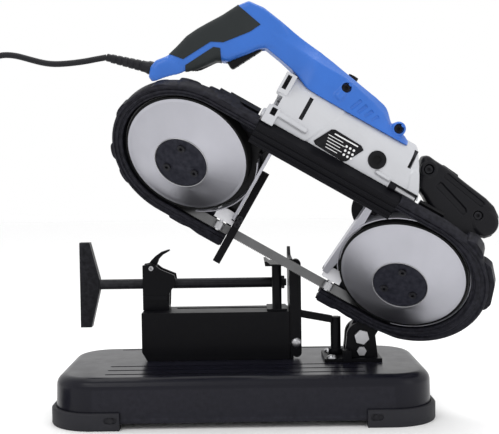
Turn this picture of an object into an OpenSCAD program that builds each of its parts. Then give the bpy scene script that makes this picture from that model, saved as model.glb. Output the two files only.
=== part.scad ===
/* [Base] */
// Length of the pressed base pan
base_len = 480; // [470:2:490]
// Depth of the base pan, front to back
base_depth = 230; // [226:2:240]
// Height of the pan's top face above the floor
base_top = 63; // [63:1:63]

/* [Vise] */
// Height of the vise bed above the floor
bed_top = 128; // [126:1:128]
// Length of the T-handle on the vise screw
handle_len = 118; // [90:2:118]

/* [Saw head] */
// Lean of the saw head above the cutting position, in degrees
head_tilt = 30; // [0:1:34]
// Lean of the wheel plane towards the operator, in degrees
wheel_tilt = 37.2; // [37.2:0.1:37.2]
// Distance between the two wheel axles
axle_gap = 313; // [313:1:313]
// Height of the vertical work stop bar
stop_len = 134; // [110:2:134]

/* [Hidden] */
$fn = 64;

// Colours
black = [0.07, 0.07, 0.08];
silver = [0.78, 0.79, 0.80];
steel = [0.60, 0.61, 0.63];
blue = [0.20, 0.42, 0.80];
rubber = [0.13, 0.13, 0.14];

// Hinge between stand and head: its place on the stand, and in the head's own frame
pivot_x = 158;
pivot_z = 95;
pivot_u = 4.5;
pivot_v = -2.7;
bolt_r = 6;
ear_r = 19;

// Wheel plane: the drive axle is at u = 0, and every rim shape is drawn in this plane
wheel_y = -78;
wheel_v = 95;
blade_y = -21;
tyre_r = 81.7;
blade_r = 82.4;
blade_w = 12.7;
blade_t = 0.65;
blade_mid = -9;
guard_r = 100;
guard_t = 9;
guard_back = -20;
guard_front = 4;
plate_back = -26;
plate_front = -20.5;

// Motor line inside the upper housing, along u
motor_y = -92;
motor_v = 206;
motor_r = 40;
motor_bore = 36.5;

// Vise screw line, along X
screw_y = 50;
screw_z = 163;
screw_r = 7;
bed_l = -137;
bed_r = 63;
bed_f = 2;
bed_b = 70;
pin_x = -126;
pin_z = 186;

// Supply cord: free route in the stand's frame, from the tip of the strain relief to the coil
cord_d = 7.5;
cord_pts = [[-163.5, -92, 460.5], [-176, -92, 458.5], [-190, -92, 456], [-209, -92, 453.8],
    [-228, -92, 453], [-243, -92, 455], [-258, -92, 459], [-276, -92, 464], [-292, -92, 465],
    [-306, -92, 461], [-317, -92, 451], [-323, -92, 435], [-327, -91, 410], [-330, -88, 370],
    [-332, -82, 310], [-332, -74, 240], [-331, -64, 170], [-329, -50, 110], [-327.5, -40.5, 72],
    [-327.3, -37, 54], [-327.3, -36, 37.95], [-327.3, -38.6, 24.95], [-327.3, -46, 13.9],
    [-327.3, -57, 6.55], [-327.3, -70, 3.95], [-327.3, -82, 3.95], [-327.3, -92, 3.95]];
coil_x = -372;
coil_y = -96;
coil_r = 41;
coil_turns = 3;

module head_place()
    translate([pivot_x, 0, pivot_z]) rotate([0, head_tilt, 0]) translate([-pivot_u, 0, -pivot_v])
        children();

module rim_plane()
    translate([0, wheel_y, wheel_v]) rotate([90 + wheel_tilt, 0, 0]) children();

module rim_place() head_place() rim_plane() children();

module slab(z0, z1) translate([0, 0, z0]) linear_extrude(z1 - z0) children();

// A plate drawn as X and Z points, standing between two Y planes
module upright(points, y0, y1)
    translate([0, y1, 0]) rotate([90, 0, 0]) linear_extrude(y1 - y0) polygon(points);

module along_y(x, z, r, y0, y1) translate([x, y0, z]) rotate([-90, 0, 0]) cylinder(r = r, h = y1 - y0);

module along_x(y, z, r, x0, x1) translate([x0, y, z]) rotate([0, 90, 0]) cylinder(r = r, h = x1 - x0);

module block(low, high) translate(low) cube(high - low);

module rounded(half_x, half_y, r) {
    square([2 * half_x, 2 * (half_y - r)], center = true);
    square([2 * (half_x - r), 2 * half_y], center = true);
    for (sx = [-1, 1], sy = [-1, 1]) translate([sx * (half_x - r), sy * (half_y - r)]) circle(r = r);
}

// ---- Base ----
pan_l = base_len / 2;
pan_d = base_depth / 2;
pan_c = 54;
pan_t = 2.5;
pan_low = 8;
edge_r = 14;

// Skirt section, measured outwards from the centre of a corner
skirt = concat([[pan_c, pan_low], [pan_c - 1, base_top - edge_r]],
    [for (a = [10:10:90]) [pan_c - 1 - edge_r + edge_r * cos(a), base_top - edge_r + edge_r * sin(a)]],
    [for (a = [90:-10:10]) [pan_c - 1 - edge_r + (edge_r - pan_t) * cos(a),
        base_top - edge_r + (edge_r - pan_t) * sin(a)]],
    [[pan_c - 1 - pan_t, base_top - edge_r], [pan_c - pan_t, pan_low]]);

module ring_of(profile, half_x, half_y, c) {
    for (sx = [0, 1], sy = [0, 1]) mirror([sx, 0, 0]) mirror([0, sy, 0])
        translate([half_x - c, half_y - c, 0]) rotate_extrude(angle = 90) polygon(profile);
    for (s = [0, 1]) mirror([0, s, 0])
        translate([-(half_x - c), half_y - c, 0]) rotate([90, 0, 90])
            linear_extrude(2 * (half_x - c)) polygon(profile);
    for (s = [0, 1]) mirror([s, 0, 0])
        translate([half_x - c, half_y - c, 0]) rotate([90, 0, 0])
            linear_extrude(2 * (half_y - c)) polygon(profile);
}

bolt_spots = [[-120, 12], [50, 12], [-120, 60], [50, 60]];
hinge_spots = [[118, -18], [118, 32]];

module base_pan() color(black) difference() {
    union() {
        ring_of(skirt, pan_l, pan_d, pan_c);
        slab(base_top - pan_t, base_top)
            rounded(pan_l - 1 - edge_r, pan_d - 1 - edge_r, pan_c - 1 - edge_r);
    }
    for (y = [-84, -58, -32, 92]) slab(base_top - 1, base_top + 1) translate([-10, y]) rounded(165, 2.5, 2.4);
    for (p = concat(bolt_spots, hinge_spots)) translate([p[0], p[1], 40]) cylinder(r = 4.05, h = 40);
    for (sx = [-1, 1], sy = [-1, 1]) along_y(sx * 164, 13, 2.1, sy > 0 ? 100 : -125, sy > 0 ? 125 : -100);
}

// Rubber corner: a wall round the outside of the pan and a pad under its edge
foot_profile = [[pan_c + 0.3, 22], [pan_c + 0.3, 7.8], [pan_c - 9, 7.8], [pan_c - 12, 0], [pan_c + 5, 0],
    [pan_c + 6, 2], [pan_c + 6, 20], [pan_c + 4, 22]];
foot_tail = 33;

module corner_foot() {
    rotate_extrude(angle = 90) polygon(foot_profile);
    translate([-foot_tail, 0, 0]) rotate([90, 0, 90]) linear_extrude(foot_tail) polygon(foot_profile);
    rotate([90, 0, 0]) linear_extrude(foot_tail) polygon(foot_profile);
}

module corner_feet() color(rubber) difference() {
    for (sx = [0, 1], sy = [0, 1]) mirror([sx, 0, 0]) mirror([0, sy, 0])
        translate([pan_l - pan_c, pan_d - pan_c, 0]) corner_foot();
    for (sx = [-1, 1], sy = [-1, 1]) {
        along_y(sx * 164, 13, 2.1, sy > 0 ? 110 : -125, sy > 0 ? 125 : -110);
        for (dx = [-4, 0, 4])
            along_y(sx * 164 + dx, 13, 4, sy > 0 ? pan_d + 3.5 : -125, sy > 0 ? 125 : -pan_d - 3.5);
    }
}

module feet_screws() color(steel)
    for (sx = [0, 1], sy = [0, 1]) mirror([sx, 0, 0]) mirror([0, sy, 0]) {
        along_y(164, 13, 2, pan_d - 8, pan_d + 3.5);
        along_y(164, 13, 3.6, pan_d + 3.5, pan_d + 5.2);
    }

// ---- Vise bed and bracket ----
bed_t = 3.5;

module vise_bed() color(black) difference() {
    union() {
        block([bed_l, bed_f, bed_top - bed_t], [bed_r, bed_b, bed_top]);
        for (y = [bed_f, bed_b - bed_t])
            upright([[bed_l, bed_top], [bed_l, base_top + 12], [bed_l + 7, base_top], [bed_r, base_top],
                [bed_r, bed_top]], y, y + bed_t);
        block([bed_l, bed_f, base_top + 12], [bed_l + bed_t, bed_b, bed_top]);
        block([bed_l + 7, bed_f, base_top], [bed_r, bed_f + 18, base_top + 3]);
        block([bed_l + 7, bed_b - 18, base_top], [bed_r, bed_b, base_top + 3]);
    }
    block([-92, screw_y - 5, bed_top - 8], [bed_r - 4, screw_y + 5, bed_top + 1]);
    for (p = bolt_spots) translate([p[0], p[1], 40]) cylinder(r = 4.05, h = 40);
}

// Domed bolt: head above the seat, shank down through it
module dome_bolt(len) {
    rotate_extrude() polygon(concat([[0, 0], [7, 0]], [for (a = [15:15:90]) [7 * cos(a), 0.4 + 4 * sin(a)]]));
    translate([0, 0, -len]) cylinder(r = 4, h = len);
}

module stand_bolts() color(steel) {
    for (p = bolt_spots) translate([p[0], p[1], base_top + 3]) {
        dome_bolt(16);
        translate([0, 0, -12.5]) cylinder(r = 7.5, h = 6.5, $fn = 6);
    }
    for (p = hinge_spots) translate([p[0], p[1], base_top + 5]) {
        dome_bolt(18);
        translate([0, 0, -14.5]) cylinder(r = 7.5, h = 6.5, $fn = 6);
    }
    translate([72, 4, 85]) rotate([90, 0, 0]) {
        dome_bolt(20);
        translate([0, 0, -20]) cylinder(r = 7.5, h = 5.9, $fn = 6);
    }
}

cheek = [[-138, bed_top], [-138, 190], [-124, 192.5], [-113, 184], [-94, 176], [-92, 165], [-101, 152],
    [-102, bed_top]];

module screw_bracket() color(black) difference() {
    union() {
        for (y = [screw_y - 17, screw_y + 11]) upright(cheek, y, y + 6);
        block([-138, screw_y - 17, bed_top], [-102, screw_y + 17, bed_top + 5]);
        block([-136, screw_y - 19, bed_top + 14], [-104, screw_y - 17, bed_top + 20]);
    }
    along_y(pin_x, pin_z, 3.2, screw_y - 30, screw_y + 30);
}

module bracket_pin() color(steel) difference() {
    along_y(pin_x, pin_z, 3.2, screw_y - 18.5, screw_y + 18.5);
    along_y(pin_x, pin_z, 2, screw_y - 20, screw_y + 20);
}

// Thumb lever with a half nut that bears on the screw from above
module release_lever() color(black) difference() {
    union() {
        along_y(pin_x, pin_z, 7, screw_y - 10.5, screw_y + 10.5);
        upright([[-131, 190], [-127, 196], [-121, 202], [-113, 207.5], [-102, 211], [-101, 209], [-110, 204],
            [-116, 198], [-119, 190], [-121, 181]], screw_y - 6, screw_y + 6);
        upright([[-126, 180], [-106, 177], [-104, 168], [-124, 168], [-129, 179]],
            screw_y - 10.5, screw_y + 10.5);
    }
    along_x(screw_y, screw_z, screw_r + 0.35, -140, -90);
    along_y(pin_x, pin_z, 3.25, screw_y - 30, screw_y + 30);
}

module fixed_jaw() color(black) difference() {
    union() {
        translate([63.5, 0, 0]) rotate([90, 0, 90]) linear_extrude(4.5)
            polygon([[4, base_top], [4, 199], [62, 200], [80, 211], [88, 206], [88, 132], [70, 127],
                [70, base_top]]);
        upright([[66, 72], [66, 192], [79, 192], [79, 72]], 4, 18);
        along_y(72.5, 192, 6.5, 4, 18);
        along_y(72.5, 72, 6.5, 4, 18);
        block([67, 18, 128], [79, 88, 134]);
    }
    along_y(72, 85, 4.05, 0, 30);
    along_y(72, 85, 8, 18, 26);
}

module jaw_brace() color(black)
    upright([[79.2, 129], [121, 121], [121, 111], [79.2, 119]], 7, 12);

module stop_post() color(black) difference() {
    union() {
        translate([126, 14, base_top + 5]) cylinder(r = 7, h = 119 - base_top - 5);
        translate([126, 14, base_top + 5]) cylinder(r = 10, h = 8);
    }
    upright([[70, 132], [121.2, 121.2], [121.2, 110.8], [70, 118]], 6.8, 12.2);
}

module ear_plate(y0, y1) {
    along_y(pivot_x, pivot_z, ear_r, y0, y1);
    upright([[pivot_x + 22, base_top + 4], [pivot_x + ear_r, pivot_z], [pivot_x - ear_r, pivot_z],
        [pivot_x - 22, base_top + 4]], y0, y1);
}

module hinge_bracket() color(black) difference() {
    union() {
        block([108, -26, base_top], [184, 40, base_top + 5]);
        ear_plate(-12, -1);
        ear_plate(15.5, 26);
        block([132, -28, base_top], [143, -12, base_top + 16]);
    }
    along_y(pivot_x, pivot_z, bolt_r, -40, 40);
    along_y(pivot_x, pivot_z - 19, 3.5, -40, -0.5);
    for (p = hinge_spots) translate([p[0], p[1], 40]) cylinder(r = 4.05, h = 40);
}

module hinge_bolt() color(steel) {
    along_y(pivot_x, pivot_z, bolt_r, -12, 33);
    translate([pivot_x, -12, pivot_z]) rotate([90, 15, 0]) cylinder(r = 10, h = 7, $fn = 6);
    translate([pivot_x, 26, pivot_z]) rotate([-90, 15, 0]) difference() {
        cylinder(r = 10, h = 6.5, $fn = 6);
        translate([0, 0, -1]) cylinder(r = bolt_r + 0.05, h = 9);
    }
    along_y(pivot_x, pivot_z - 19, 3.5, -12, -1.2);
    translate([pivot_x, -12, pivot_z - 19]) rotate([90, 0, 0]) cylinder(r = 6.5, h = 4.5, $fn = 6);
}

// ---- Moving jaw and screw ----
module movable_jaw() color(black) difference() {
    union() {
        block([42, 12, bed_top + 3], [51, 86, 189]);
        translate([46.5, 14, bed_top + 3]) cylinder(r = 6.5, h = 58);
        block([33, 8, bed_top + 0.3], [60, 62, bed_top + 3]);
        upright([[30, 195], [31, 189], [56, 189], [56, 191.5], [38, 191.5], [33, 195.5]], 8, 86);
        block([42, screw_y - 4.5, bed_top - 4], [51, screw_y + 4.5, bed_top + 3]);
    }
    along_x(screw_y, screw_z, 5.06, 30, 70);
}

module jaw_keeper() color(steel) block([36, screw_y - 12, bed_top - 9], [57, screw_y + 12, bed_top - 4]);

module vise_screw() color(steel) {
    along_x(screw_y, screw_z, screw_r, -200, 41.7);
    along_x(screw_y, screw_z, 5, 41.7, 61);
}

module t_handle() color(black) difference() {
    upright([[-226, screw_z + handle_len / 2], [-212, screw_z + handle_len / 2], [-199, screw_z + 8],
        [-199, screw_z - 8], [-211, screw_z - handle_len / 2], [-226, screw_z - handle_len / 2]],
        screw_y - 8, screw_y + 8);
    along_x(screw_y, screw_z, screw_r, -200, -190);
}

module screw_end_nut() color(steel) difference() {
    translate([51.4, screw_y, screw_z]) rotate([0, 90, 0]) cylinder(r = 9, h = 7, $fn = 6);
    along_x(screw_y, screw_z, 5, 40, 70);
}

// ---- Saw head: frame, guards and hinge lug ----
lever_u = -261;
slack = 6;
leg_edges = [-223.5, -87];

module frame_outline() difference() {
    union() {
        for (x = [-axle_gap, 0]) translate([x, 0]) circle(r = 62);
        translate([-axle_gap, 60]) square([axle_gap, 37]);
        translate([-262, -70]) square([42.5, 140]);
        translate([-87, -70]) square([39, 140]);
        translate([-axle_gap, -20]) square([60, 70]);
        translate([-58, -20]) square([50, 70]);
        translate([-18, -96]) square([44, 60]);
    }
    translate([-axle_gap - 9.4, -9.3]) square([25.5, 18.6]);
}

module frame_plate() rim_plane() slab(plate_back, plate_front) frame_outline();

module head_frame() color(silver) head_place() difference() {
    union() {
        frame_plate();
        for (x = leg_edges) rim_plane() block([x, -62, plate_front], [x + 4, 66, -7]);
        rim_plane() block([-300, 62, plate_back - 8], [-84, 68, plate_back]);
        rim_plane() block([-300, 88, plate_back - 8], [-60, 94, plate_back]);
        rim_plane() translate([lever_u, 0, plate_back - 12]) cylinder(r = 3.95, h = 13);
    }
    rim_plane() translate([0, 0, -40]) cylinder(r = 9.06, h = 40);
    along_x(motor_y, motor_v, motor_bore, -258, -34);
}

module hinge_lug() color(black) head_place() difference() {
    union() {
        rim_plane() block([-16, -95, -33], [24, -70, plate_back]);
        along_y(pivot_u, pivot_v, 17, -0.5, 15);
        upright([[-13, 0], [22, 0], [24, 50], [-16, 50]], -0.5, 15);
    }
    frame_plate();
    rim_plane() translate([0, 0, -60]) cylinder(r = 69.5, h = 60);
    along_y(pivot_u, pivot_v, bolt_r + 0.06, -5, 20);
}

module ring_half(side, r0, r1) intersection() {
    difference() {
        circle(r = r1, $fn = 96);
        circle(r = r0, $fn = 96);
    }
    translate([side > 0 ? 0 : -120, -120]) square([120, 240]);
}

// Wheel guard wall seen along the axle: half ring and its two straight ends
module guard_wall(side, top_len, low_len) {
    ring_half(side, guard_r - guard_t, guard_r);
    translate([side > 0 ? -top_len : 0, guard_r - guard_t]) square([top_len, guard_t]);
    translate([side > 0 ? -low_len : 0, -guard_r]) square([low_len, guard_t]);
}

module guard_ribs(side, angles)
    for (a = angles) rotate(side > 0 ? a : 180 - a) translate([guard_r - 1, -9]) square([4, 18]);

// Room in a guard's lower wall for the rear roller of a guide
module roller_room(u) translate([u, blade_y + roller_gap, 20]) cylinder(r = roller_r + 0.8, h = 60);

module left_guard() color(black) head_place() difference() {
    rim_plane() translate([-axle_gap, 0, 0]) {
        slab(guard_back, guard_front) guard_wall(-1, 60, 93.5);
        slab(guard_back, guard_back + 2.5) ring_half(-1, 66, guard_r - 4);
        slab(guard_back, guard_back + 2.5) translate([0, -guard_r + 4]) square([93.5, 14]);
        slab(guard_back + 3, guard_front - 3) guard_ribs(-1, [15, -20]);
        slab(guard_back + 2.5, guard_front - 4) polygon([[-36, 92], [-34, 104], [-26, 110], [-17, 112],
            [-8, 108], [1, 112.5], [30, 112], [44, 105], [58, 99.5], [58, 92]]);
        block([66, -guard_r, guard_back], [93.5, -guard_r + 11, guard_front]);
    }
    roller_room(left_u);
}

// The right guard stands further out on its outer side
module guard_bulge() intersection() {
    difference() {
        translate([8.5, -1]) circle(r = guard_r, $fn = 96);
        circle(r = guard_r - 1, $fn = 96);
    }
    translate([30, -110]) square([90, 220]);
}

module right_guard() color(black) head_place() difference() {
    rim_plane() {
        slab(guard_back, guard_front) guard_wall(1, 58, 76);
        slab(guard_back, guard_back + 2.5) ring_half(1, 66, guard_r - 4);
        slab(guard_back, guard_back + 2.5) translate([-76, -guard_r + 4]) square([48, 14]);
        slab(guard_back + 3, guard_front - 3) guard_ribs(1, [62]);
        slab(guard_back, guard_front - 1) guard_bulge();
        slab(guard_back, guard_back + 14) polygon([[80, 72], [80, 85], [88, 79.5], [100, 55], [111, 30],
            [110.5, 17], [101, 14], [100, 30]]);
        block([-76, -guard_r, guard_back], [-50, -guard_r + 11, guard_front]);
    }
    roller_room(right_u);
}

module rail_front() difference() {
    translate([-axle_gap + 8, 67]) square([axle_gap - 16, 23.9]);
    for (x = [-axle_gap, slack - axle_gap, 0]) translate([x, 0]) circle(r = 84);
}

module top_rail() color(black) rim_place() difference() {
    union() {
        slab(0.5, guard_front) rail_front();
        block([-252.8, 88, guard_back], [-58.2, 97, guard_front]);
        block([-252.8, 67, guard_back], [-58.2, 71, guard_front]);
    }
    for (b = [74, 82]) block([-236, b, guard_front - 1.2], [-70, b + 2.5, guard_front + 1]);
    block([-260, 72, guard_back - 1], [-50, 91, 0.5]);
    for (x = [-axle_gap, slack - axle_gap, 0]) translate([x, 0, -30]) cylinder(r = 84, h = 40, $fn = 96);
}

// ---- Blade guides ----
roller_r = 6.5;
left_u = -234;
right_u = -70;
roller_v0 = 31;
roller_v1 = 40;
roller_gap = roller_r + blade_t / 2 + 0.4;

module guide_block(u) difference() {
    union() {
        block([u - 12, -32, 43.5], [u + 12, -6, 60]);
        if (u == left_u) block([u + 12, -32, 43.5], [u + 25, -26, 60]);
        for (s = [-1, 1]) translate([u, blade_y + s * roller_gap, 29]) cylinder(r = 2.5, h = 20);
    }
    frame_plate();
    for (x = leg_edges) rim_plane() block([x, -62, plate_front - 1], [x + 4, 66, -7]);
    rim_plane() for (x = [-axle_gap, slack - axle_gap, 0]) translate([x, 0, -30]) cylinder(r = 84.5, h = 60);
}

module guide_blocks() color(silver) head_place() for (u = [left_u, right_u]) guide_block(u);

module roller(u, s) color(steel) head_place() difference() {
    translate([u, blade_y + s * roller_gap, roller_v0]) cylinder(r = roller_r, h = roller_v1 - roller_v0);
    translate([u, blade_y + s * roller_gap, roller_v0 - 1]) cylinder(r = 2.55, h = 20);
}

module left_front_roller() roller(left_u, -1);
module left_rear_roller() roller(left_u, 1);
module right_front_roller() roller(right_u, -1);
module right_rear_roller() roller(right_u, 1);

module work_stop() color(black) head_place() difference() {
    block([-219, -37, 126 - stop_len], [-209, -32, 126]);
    for (v = [48, 56]) along_y(-214, v, 2.6, -40, -30);
}

module cap_screw(r, head, len) {
    difference() {
        cylinder(r = r * 1.6, h = head);
        translate([0, 0, head - 2]) cylinder(r = r * 0.75, h = 3, $fn = 6);
    }
    translate([0, 0, -len]) cylinder(r = r, h = len);
}

shell_screw_spots = [[-180, 262], [-100, 250]];
handle_screw_spots = [[-42, 226], [39, 206]];

module socket_screws() color(rubber) head_place() {
    for (v = [48, 56]) translate([-214, -37, v]) rotate([90, 0, 0]) cap_screw(2.5, 3, 4.5);
    for (p = shell_screw_spots) translate([p[0], motor_y - 18, p[1]]) rotate([90, 0, 0]) cap_screw(3, 4, 14);
    for (p = handle_screw_spots) translate([p[0], -104, p[1]]) rotate([90, 0, 0]) cap_screw(3, 2.5, 12);
}

// ---- Blade: one closed band, twisted upright between the guides ----
twist = 90 - wheel_tilt;
arc_n = 24;
run_n = 24;
function ease(t) = t < 0 ? 0 : t > 1 ? 1 : t * t * (3 - 2 * t);
function run_twist(u) = twist * (u < (left_u + right_u) / 2 ? ease((u + axle_gap) / 66) : ease(-u / 56));
stations = concat(
    [for (i = [0:arc_n]) let (a = 90 + 180 * i / arc_n)
        [-axle_gap + blade_r * cos(a), blade_r * sin(a), cos(a), sin(a), 0]],
    [for (i = [1:run_n - 1]) let (u = -axle_gap + axle_gap * i / run_n) [u, -blade_r, 0, -1, run_twist(u)]],
    [for (i = [0:arc_n]) let (a = -90 + 180 * i / arc_n)
        [blade_r * cos(a), blade_r * sin(a), cos(a), sin(a), 0]]);
function corner(s, n, w) = [s[0] + n * s[2] * cos(s[4]),
    s[1] + n * s[3] * cos(s[4]) - w * sin(s[4]),
    blade_mid - n * sin(s[4]) + w * cos(s[4])];
blade_points = [for (s = stations) for (k = [[-1, -1], [1, -1], [1, 1], [-1, 1]])
    corner(s, k[0] * blade_t / 2, k[1] * blade_w / 2)];
blade_count = len(stations);
blade_faces = [for (i = [0:blade_count - 1]) for (k = [0:3])
    let (a = 4 * i + k, b = 4 * i + (k + 1) % 4, c = 4 * ((i + 1) % blade_count) + (k + 1) % 4,
        d = 4 * ((i + 1) % blade_count) + k) each [[a, b, c], [a, c, d]]];

module blade() color(steel) rim_place() polyhedron(points = blade_points, faces = blade_faces);

// ---- Wheels ----
wheel_profile = [[9.05, -15.5], [20, -15.5], [20, 10.5], [33, 10.5], [70, -6], [72.5, -16], [79, -16],
    [79, -0.6], [75.5, 0.4], [34.2, 18.3], [34.2, 14.8], [9.05, 14.8]];

module wheel() rotate_extrude($fn = 96) polygon(wheel_profile);
module tyre() difference() {
    translate([0, 0, -16.3]) cylinder(r = tyre_r, h = 15.8, $fn = 96);
    translate([0, 0, -17]) cylinder(r = 79, h = 20, $fn = 96);
}
hub_screw_r = 21;
module hub_plate() difference() {
    translate([0, 0, 14.9]) cylinder(r = 33.9, h = 2.6);
    for (a = [110, 230, 350]) rotate(a) translate([hub_screw_r, 0, 14]) cylinder(r = 3, h = 10);
}
module hub_screws() for (a = [110, 230, 350])
    rotate(a) translate([hub_screw_r, 0, 17.5]) cap_screw(2.9, 3, 2.5);

module idler_place() rim_place() translate([-axle_gap, 0, 0]) children();
module drive_wheel() color(silver) rim_place() wheel();
module drive_tyre() color(rubber) rim_place() tyre();
module drive_hub_plate() color(black) rim_place() hub_plate();
module drive_hub_screws() color(rubber) rim_place() hub_screws();
module idler_wheel() color(silver) idler_place() wheel();
module idler_tyre() color(rubber) idler_place() tyre();
module idler_hub_plate() color(black) idler_place() hub_plate();
module idler_hub_screws() color(rubber) idler_place() hub_screws();

// Axle on a sliding block that tightens the band
module tension_carriage() color(steel) idler_place() {
    translate([0, 0, -27]) cylinder(r = 9, h = 41.5);
    block([-5.7, -9, plate_back - 0.4], [7.7, 9, plate_front + 2]);
    block([-17, -16, plate_back - 8.4], [23, 16, plate_back - 0.4]);
}

module tension_lever() color(black) rim_place() translate([lever_u, 0, 0]) difference() {
    union() {
        translate([0, 0, plate_back - 8]) cylinder(r = 12, h = 7.7);
        block([-5, 0, plate_back - 8], [5, 50, plate_back - 2]);
        translate([0, 50, plate_back - 14]) cylinder(r = 7, h = 12);
    }
    translate([0, 0, plate_back - 10]) cylinder(r = 4, h = 20);
}

// ---- Drive train ----
lay_u = -62;
lay_b = 52;
worm_b = (motor_v - wheel_v) * cos(wheel_tilt) - (motor_y - wheel_y) * sin(wheel_tilt);
worm_w = -(motor_y - wheel_y) * cos(wheel_tilt) - (motor_v - wheel_v) * sin(wheel_tilt);
lay_pinion_r = 18;
drive_gear_r = sqrt(lay_u * lay_u + lay_b * lay_b) - lay_pinion_r - 0.4;
worm_r = 10;
worm_wheel_r = worm_b - lay_b - worm_r - 0.4;

module drive_gear() color(steel) rim_place() {
    translate([0, 0, -41]) cylinder(r = 9, h = 55.5);
    translate([0, 0, -40]) cylinder(r = drive_gear_r, h = 8, $fn = 96);
}

module lay_gear() color(steel) rim_place() translate([lay_u, lay_b, 0]) {
    translate([0, 0, worm_w - 8]) cylinder(r = 6, h = -30 - worm_w + 8);
    translate([0, 0, -40]) cylinder(r = lay_pinion_r, h = 8);
    translate([0, 0, worm_w - 5]) cylinder(r = worm_wheel_r, h = 10);
}

module armature() color(steel) head_place() {
    along_x(motor_y, motor_v, 5, -246, -44);
    along_x(motor_y, motor_v, 23, -214, -146);
    along_x(motor_y, motor_v, 14, -236, -220);
    along_x(motor_y, motor_v, 33, -134, -122);
    along_x(motor_y, motor_v, worm_r, -82, -46);
}

module stator() color(steel) head_place() difference() {
    along_x(motor_y, motor_v, 35.6, -216, -144);
    along_x(motor_y, motor_v, 24, -220, -140);
}

module gear_outline(grow) {
    circle(r = drive_gear_r + 6 + grow);
    translate([lay_u, lay_b]) circle(r = worm_wheel_r + 6 + grow);
    translate([lay_u + 2, lay_b - 20]) rotate(-40) square([60, 60 + grow]);
}

module gear_case() color(silver) head_place() difference() {
    rim_plane() {
        slab(-46, plate_back) gear_outline(0);
        slab(worm_w - 12, -44) translate([lay_u, lay_b]) circle(r = worm_wheel_r + 6);
    }
    rim_plane() {
        slab(-43, plate_back + 1) circle(r = drive_gear_r + 2);
        slab(-43, plate_back - 2) translate([lay_u, lay_b]) circle(r = lay_pinion_r + 3);
        slab(worm_w - 9, -42) translate([lay_u, lay_b]) circle(r = worm_wheel_r + 2);
        block([-320, 61, plate_back - 8.1], [-55, 95, plate_back + 1]);
    }
    along_x(motor_y, motor_v, motor_r + 0.02, -260, -20);
}

// ---- Motor housing and shells ----
house_l = -250;
house_r = -32;

module house_body(shrink) hull() {
    along_x(motor_y, motor_v, motor_r - shrink, house_l + shrink, house_r - shrink);
    block([house_l + shrink, -126 + shrink, 180], [house_r - shrink, -64 - shrink, 212]);
}

module motor_housing() color(silver) head_place() difference() {
    union() {
        house_body(0);
        block([-262, -118, 188], [-249, -98, 204]);
        block([-255, -112, 218], [-249, -96, 236]);
        along_x(-120, 184, 7, -78, -44);
    }
    house_body(motor_r - motor_bore);
    rim_plane() block([-400, -60, plate_back - 8.4], [100, 97.3, 60]);
    rim_plane() block([-58.3, -60, plate_back - 8.4], [100, 100.3, 60]);
    rim_plane() translate([lay_u, lay_b, -90]) cylinder(r = worm_wheel_r + 6.3, h = 80);
    for (s = [-1, 1]) along_y(-106, 203, 11, s < 0 ? -140 : -60, s < 0 ? -120 : -40);
    block([-213, -140, 201], [-208, -118, 229]);
}

grip_shape = [[-344, 288], [-336, 298], [-316, 300], [-256, 290], [-212, 284], [-212, 262], [-222, 247],
    [-240, 248], [-262, 255], [-280, 260], [-296, 261], [-312, 258], [-320, 245], [-332, 221], [-347, 200],
    [-357, 186], [-363, 176], [-366, 172], [-397, 160], [-401, 168], [-400, 176], [-389, 194], [-385, 207],
    [-381, 223], [-374, 237], [-366, 250], [-355, 267]];
grip_half = 17;
collar_low = 101;

module shell_solid() difference() {
    union() {
        upright(grip_shape, motor_y - grip_half, motor_y + grip_half);
        hull() {
            block([-252, motor_y - 31, 238], [-82, motor_y + 31, 241]);
            upright([[-300, 287], [-212, 283], [-182, 277], [-141, 270], [-124, 264], [-108, 250],
                [-250, 245]], motor_y - 14, motor_y + 14);
        }
    }
    along_x(motor_y, motor_v, motor_r + 0.05, -260, -20);
    rim_plane() translate([-axle_gap, 0, -60]) cylinder(r = collar_low, h = 80, $fn = 96);
    for (p = shell_screw_spots) {
        along_y(p[0], p[1], 3, -130, -90);
        along_y(p[0], p[1], 6.5, -140, motor_y - 18);
    }
    translate([-178, motor_y, 268]) cylinder(r = dial_r + 0.4, h = 30);
    trigger_place() {
        block([-22, -6.4, -8], [22, 6.4, 15.5]);
        block([-9, -5.4, 15], [11, 5.4, 30]);
        block([-14.3, -7.8, 26.7], [16.3, 7.8, 42.3]);
    }
    strain_core();
}

module shell_front() color(blue) head_place() difference() {
    shell_solid();
    block([-450, motor_y, 100], [0, 0, 400]);
}

module shell_rear() color(blue) head_place() difference() {
    shell_solid();
    block([-450, -200, 100], [0, motor_y, 400]);
}

outer_panel = [[-388, 195], [-386, 207], [-382.3, 223], [-375.2, 237.5], [-367, 250.6], [-356, 267.6],
    [-345, 286], [-342, 285], [-309, 279], [-316, 265], [-338, 238], [-352, 231], [-371, 196]];
inner_panel = [[-365, 191], [-346, 227], [-338, 230], [-331.3, 219.6], [-345.8, 199], [-355.8, 185.4],
    [-358, 182]];

module grip_rubber() color(rubber) head_place() difference() {
    for (p = [outer_panel, inner_panel]) upright(p, motor_y - grip_half - 1.3, motor_y + grip_half + 1.3);
    upright(grip_shape, motor_y - grip_half, motor_y + grip_half);
}

// Thin plate that follows the barrel and the flat below it
plate_arc = [168:4:196];
flat_dir = [-0.9585, -0.285];
plate_section = concat([for (a = plate_arc) (motor_r + 0.9) * [cos(a), sin(a)]],
    [[-34, -26] + 0.9 * flat_dir, [-34, -26] + 0.06 * flat_dir],
    [for (a = [196:-4:168]) (motor_r + 0.06) * [cos(a), sin(a)]]);

module spec_plate() color(rubber) head_place() intersection() {
    upright([[-172, 208], [-168, 210], [-131, 208.5], [-126, 205], [-137, 184], [-141, 181], [-180, 183],
        [-184, 186]], -140, -110);
    translate([-190, motor_y, motor_v]) rotate([90, 0, 90]) linear_extrude(70) polygon(plate_section);
}

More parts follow.
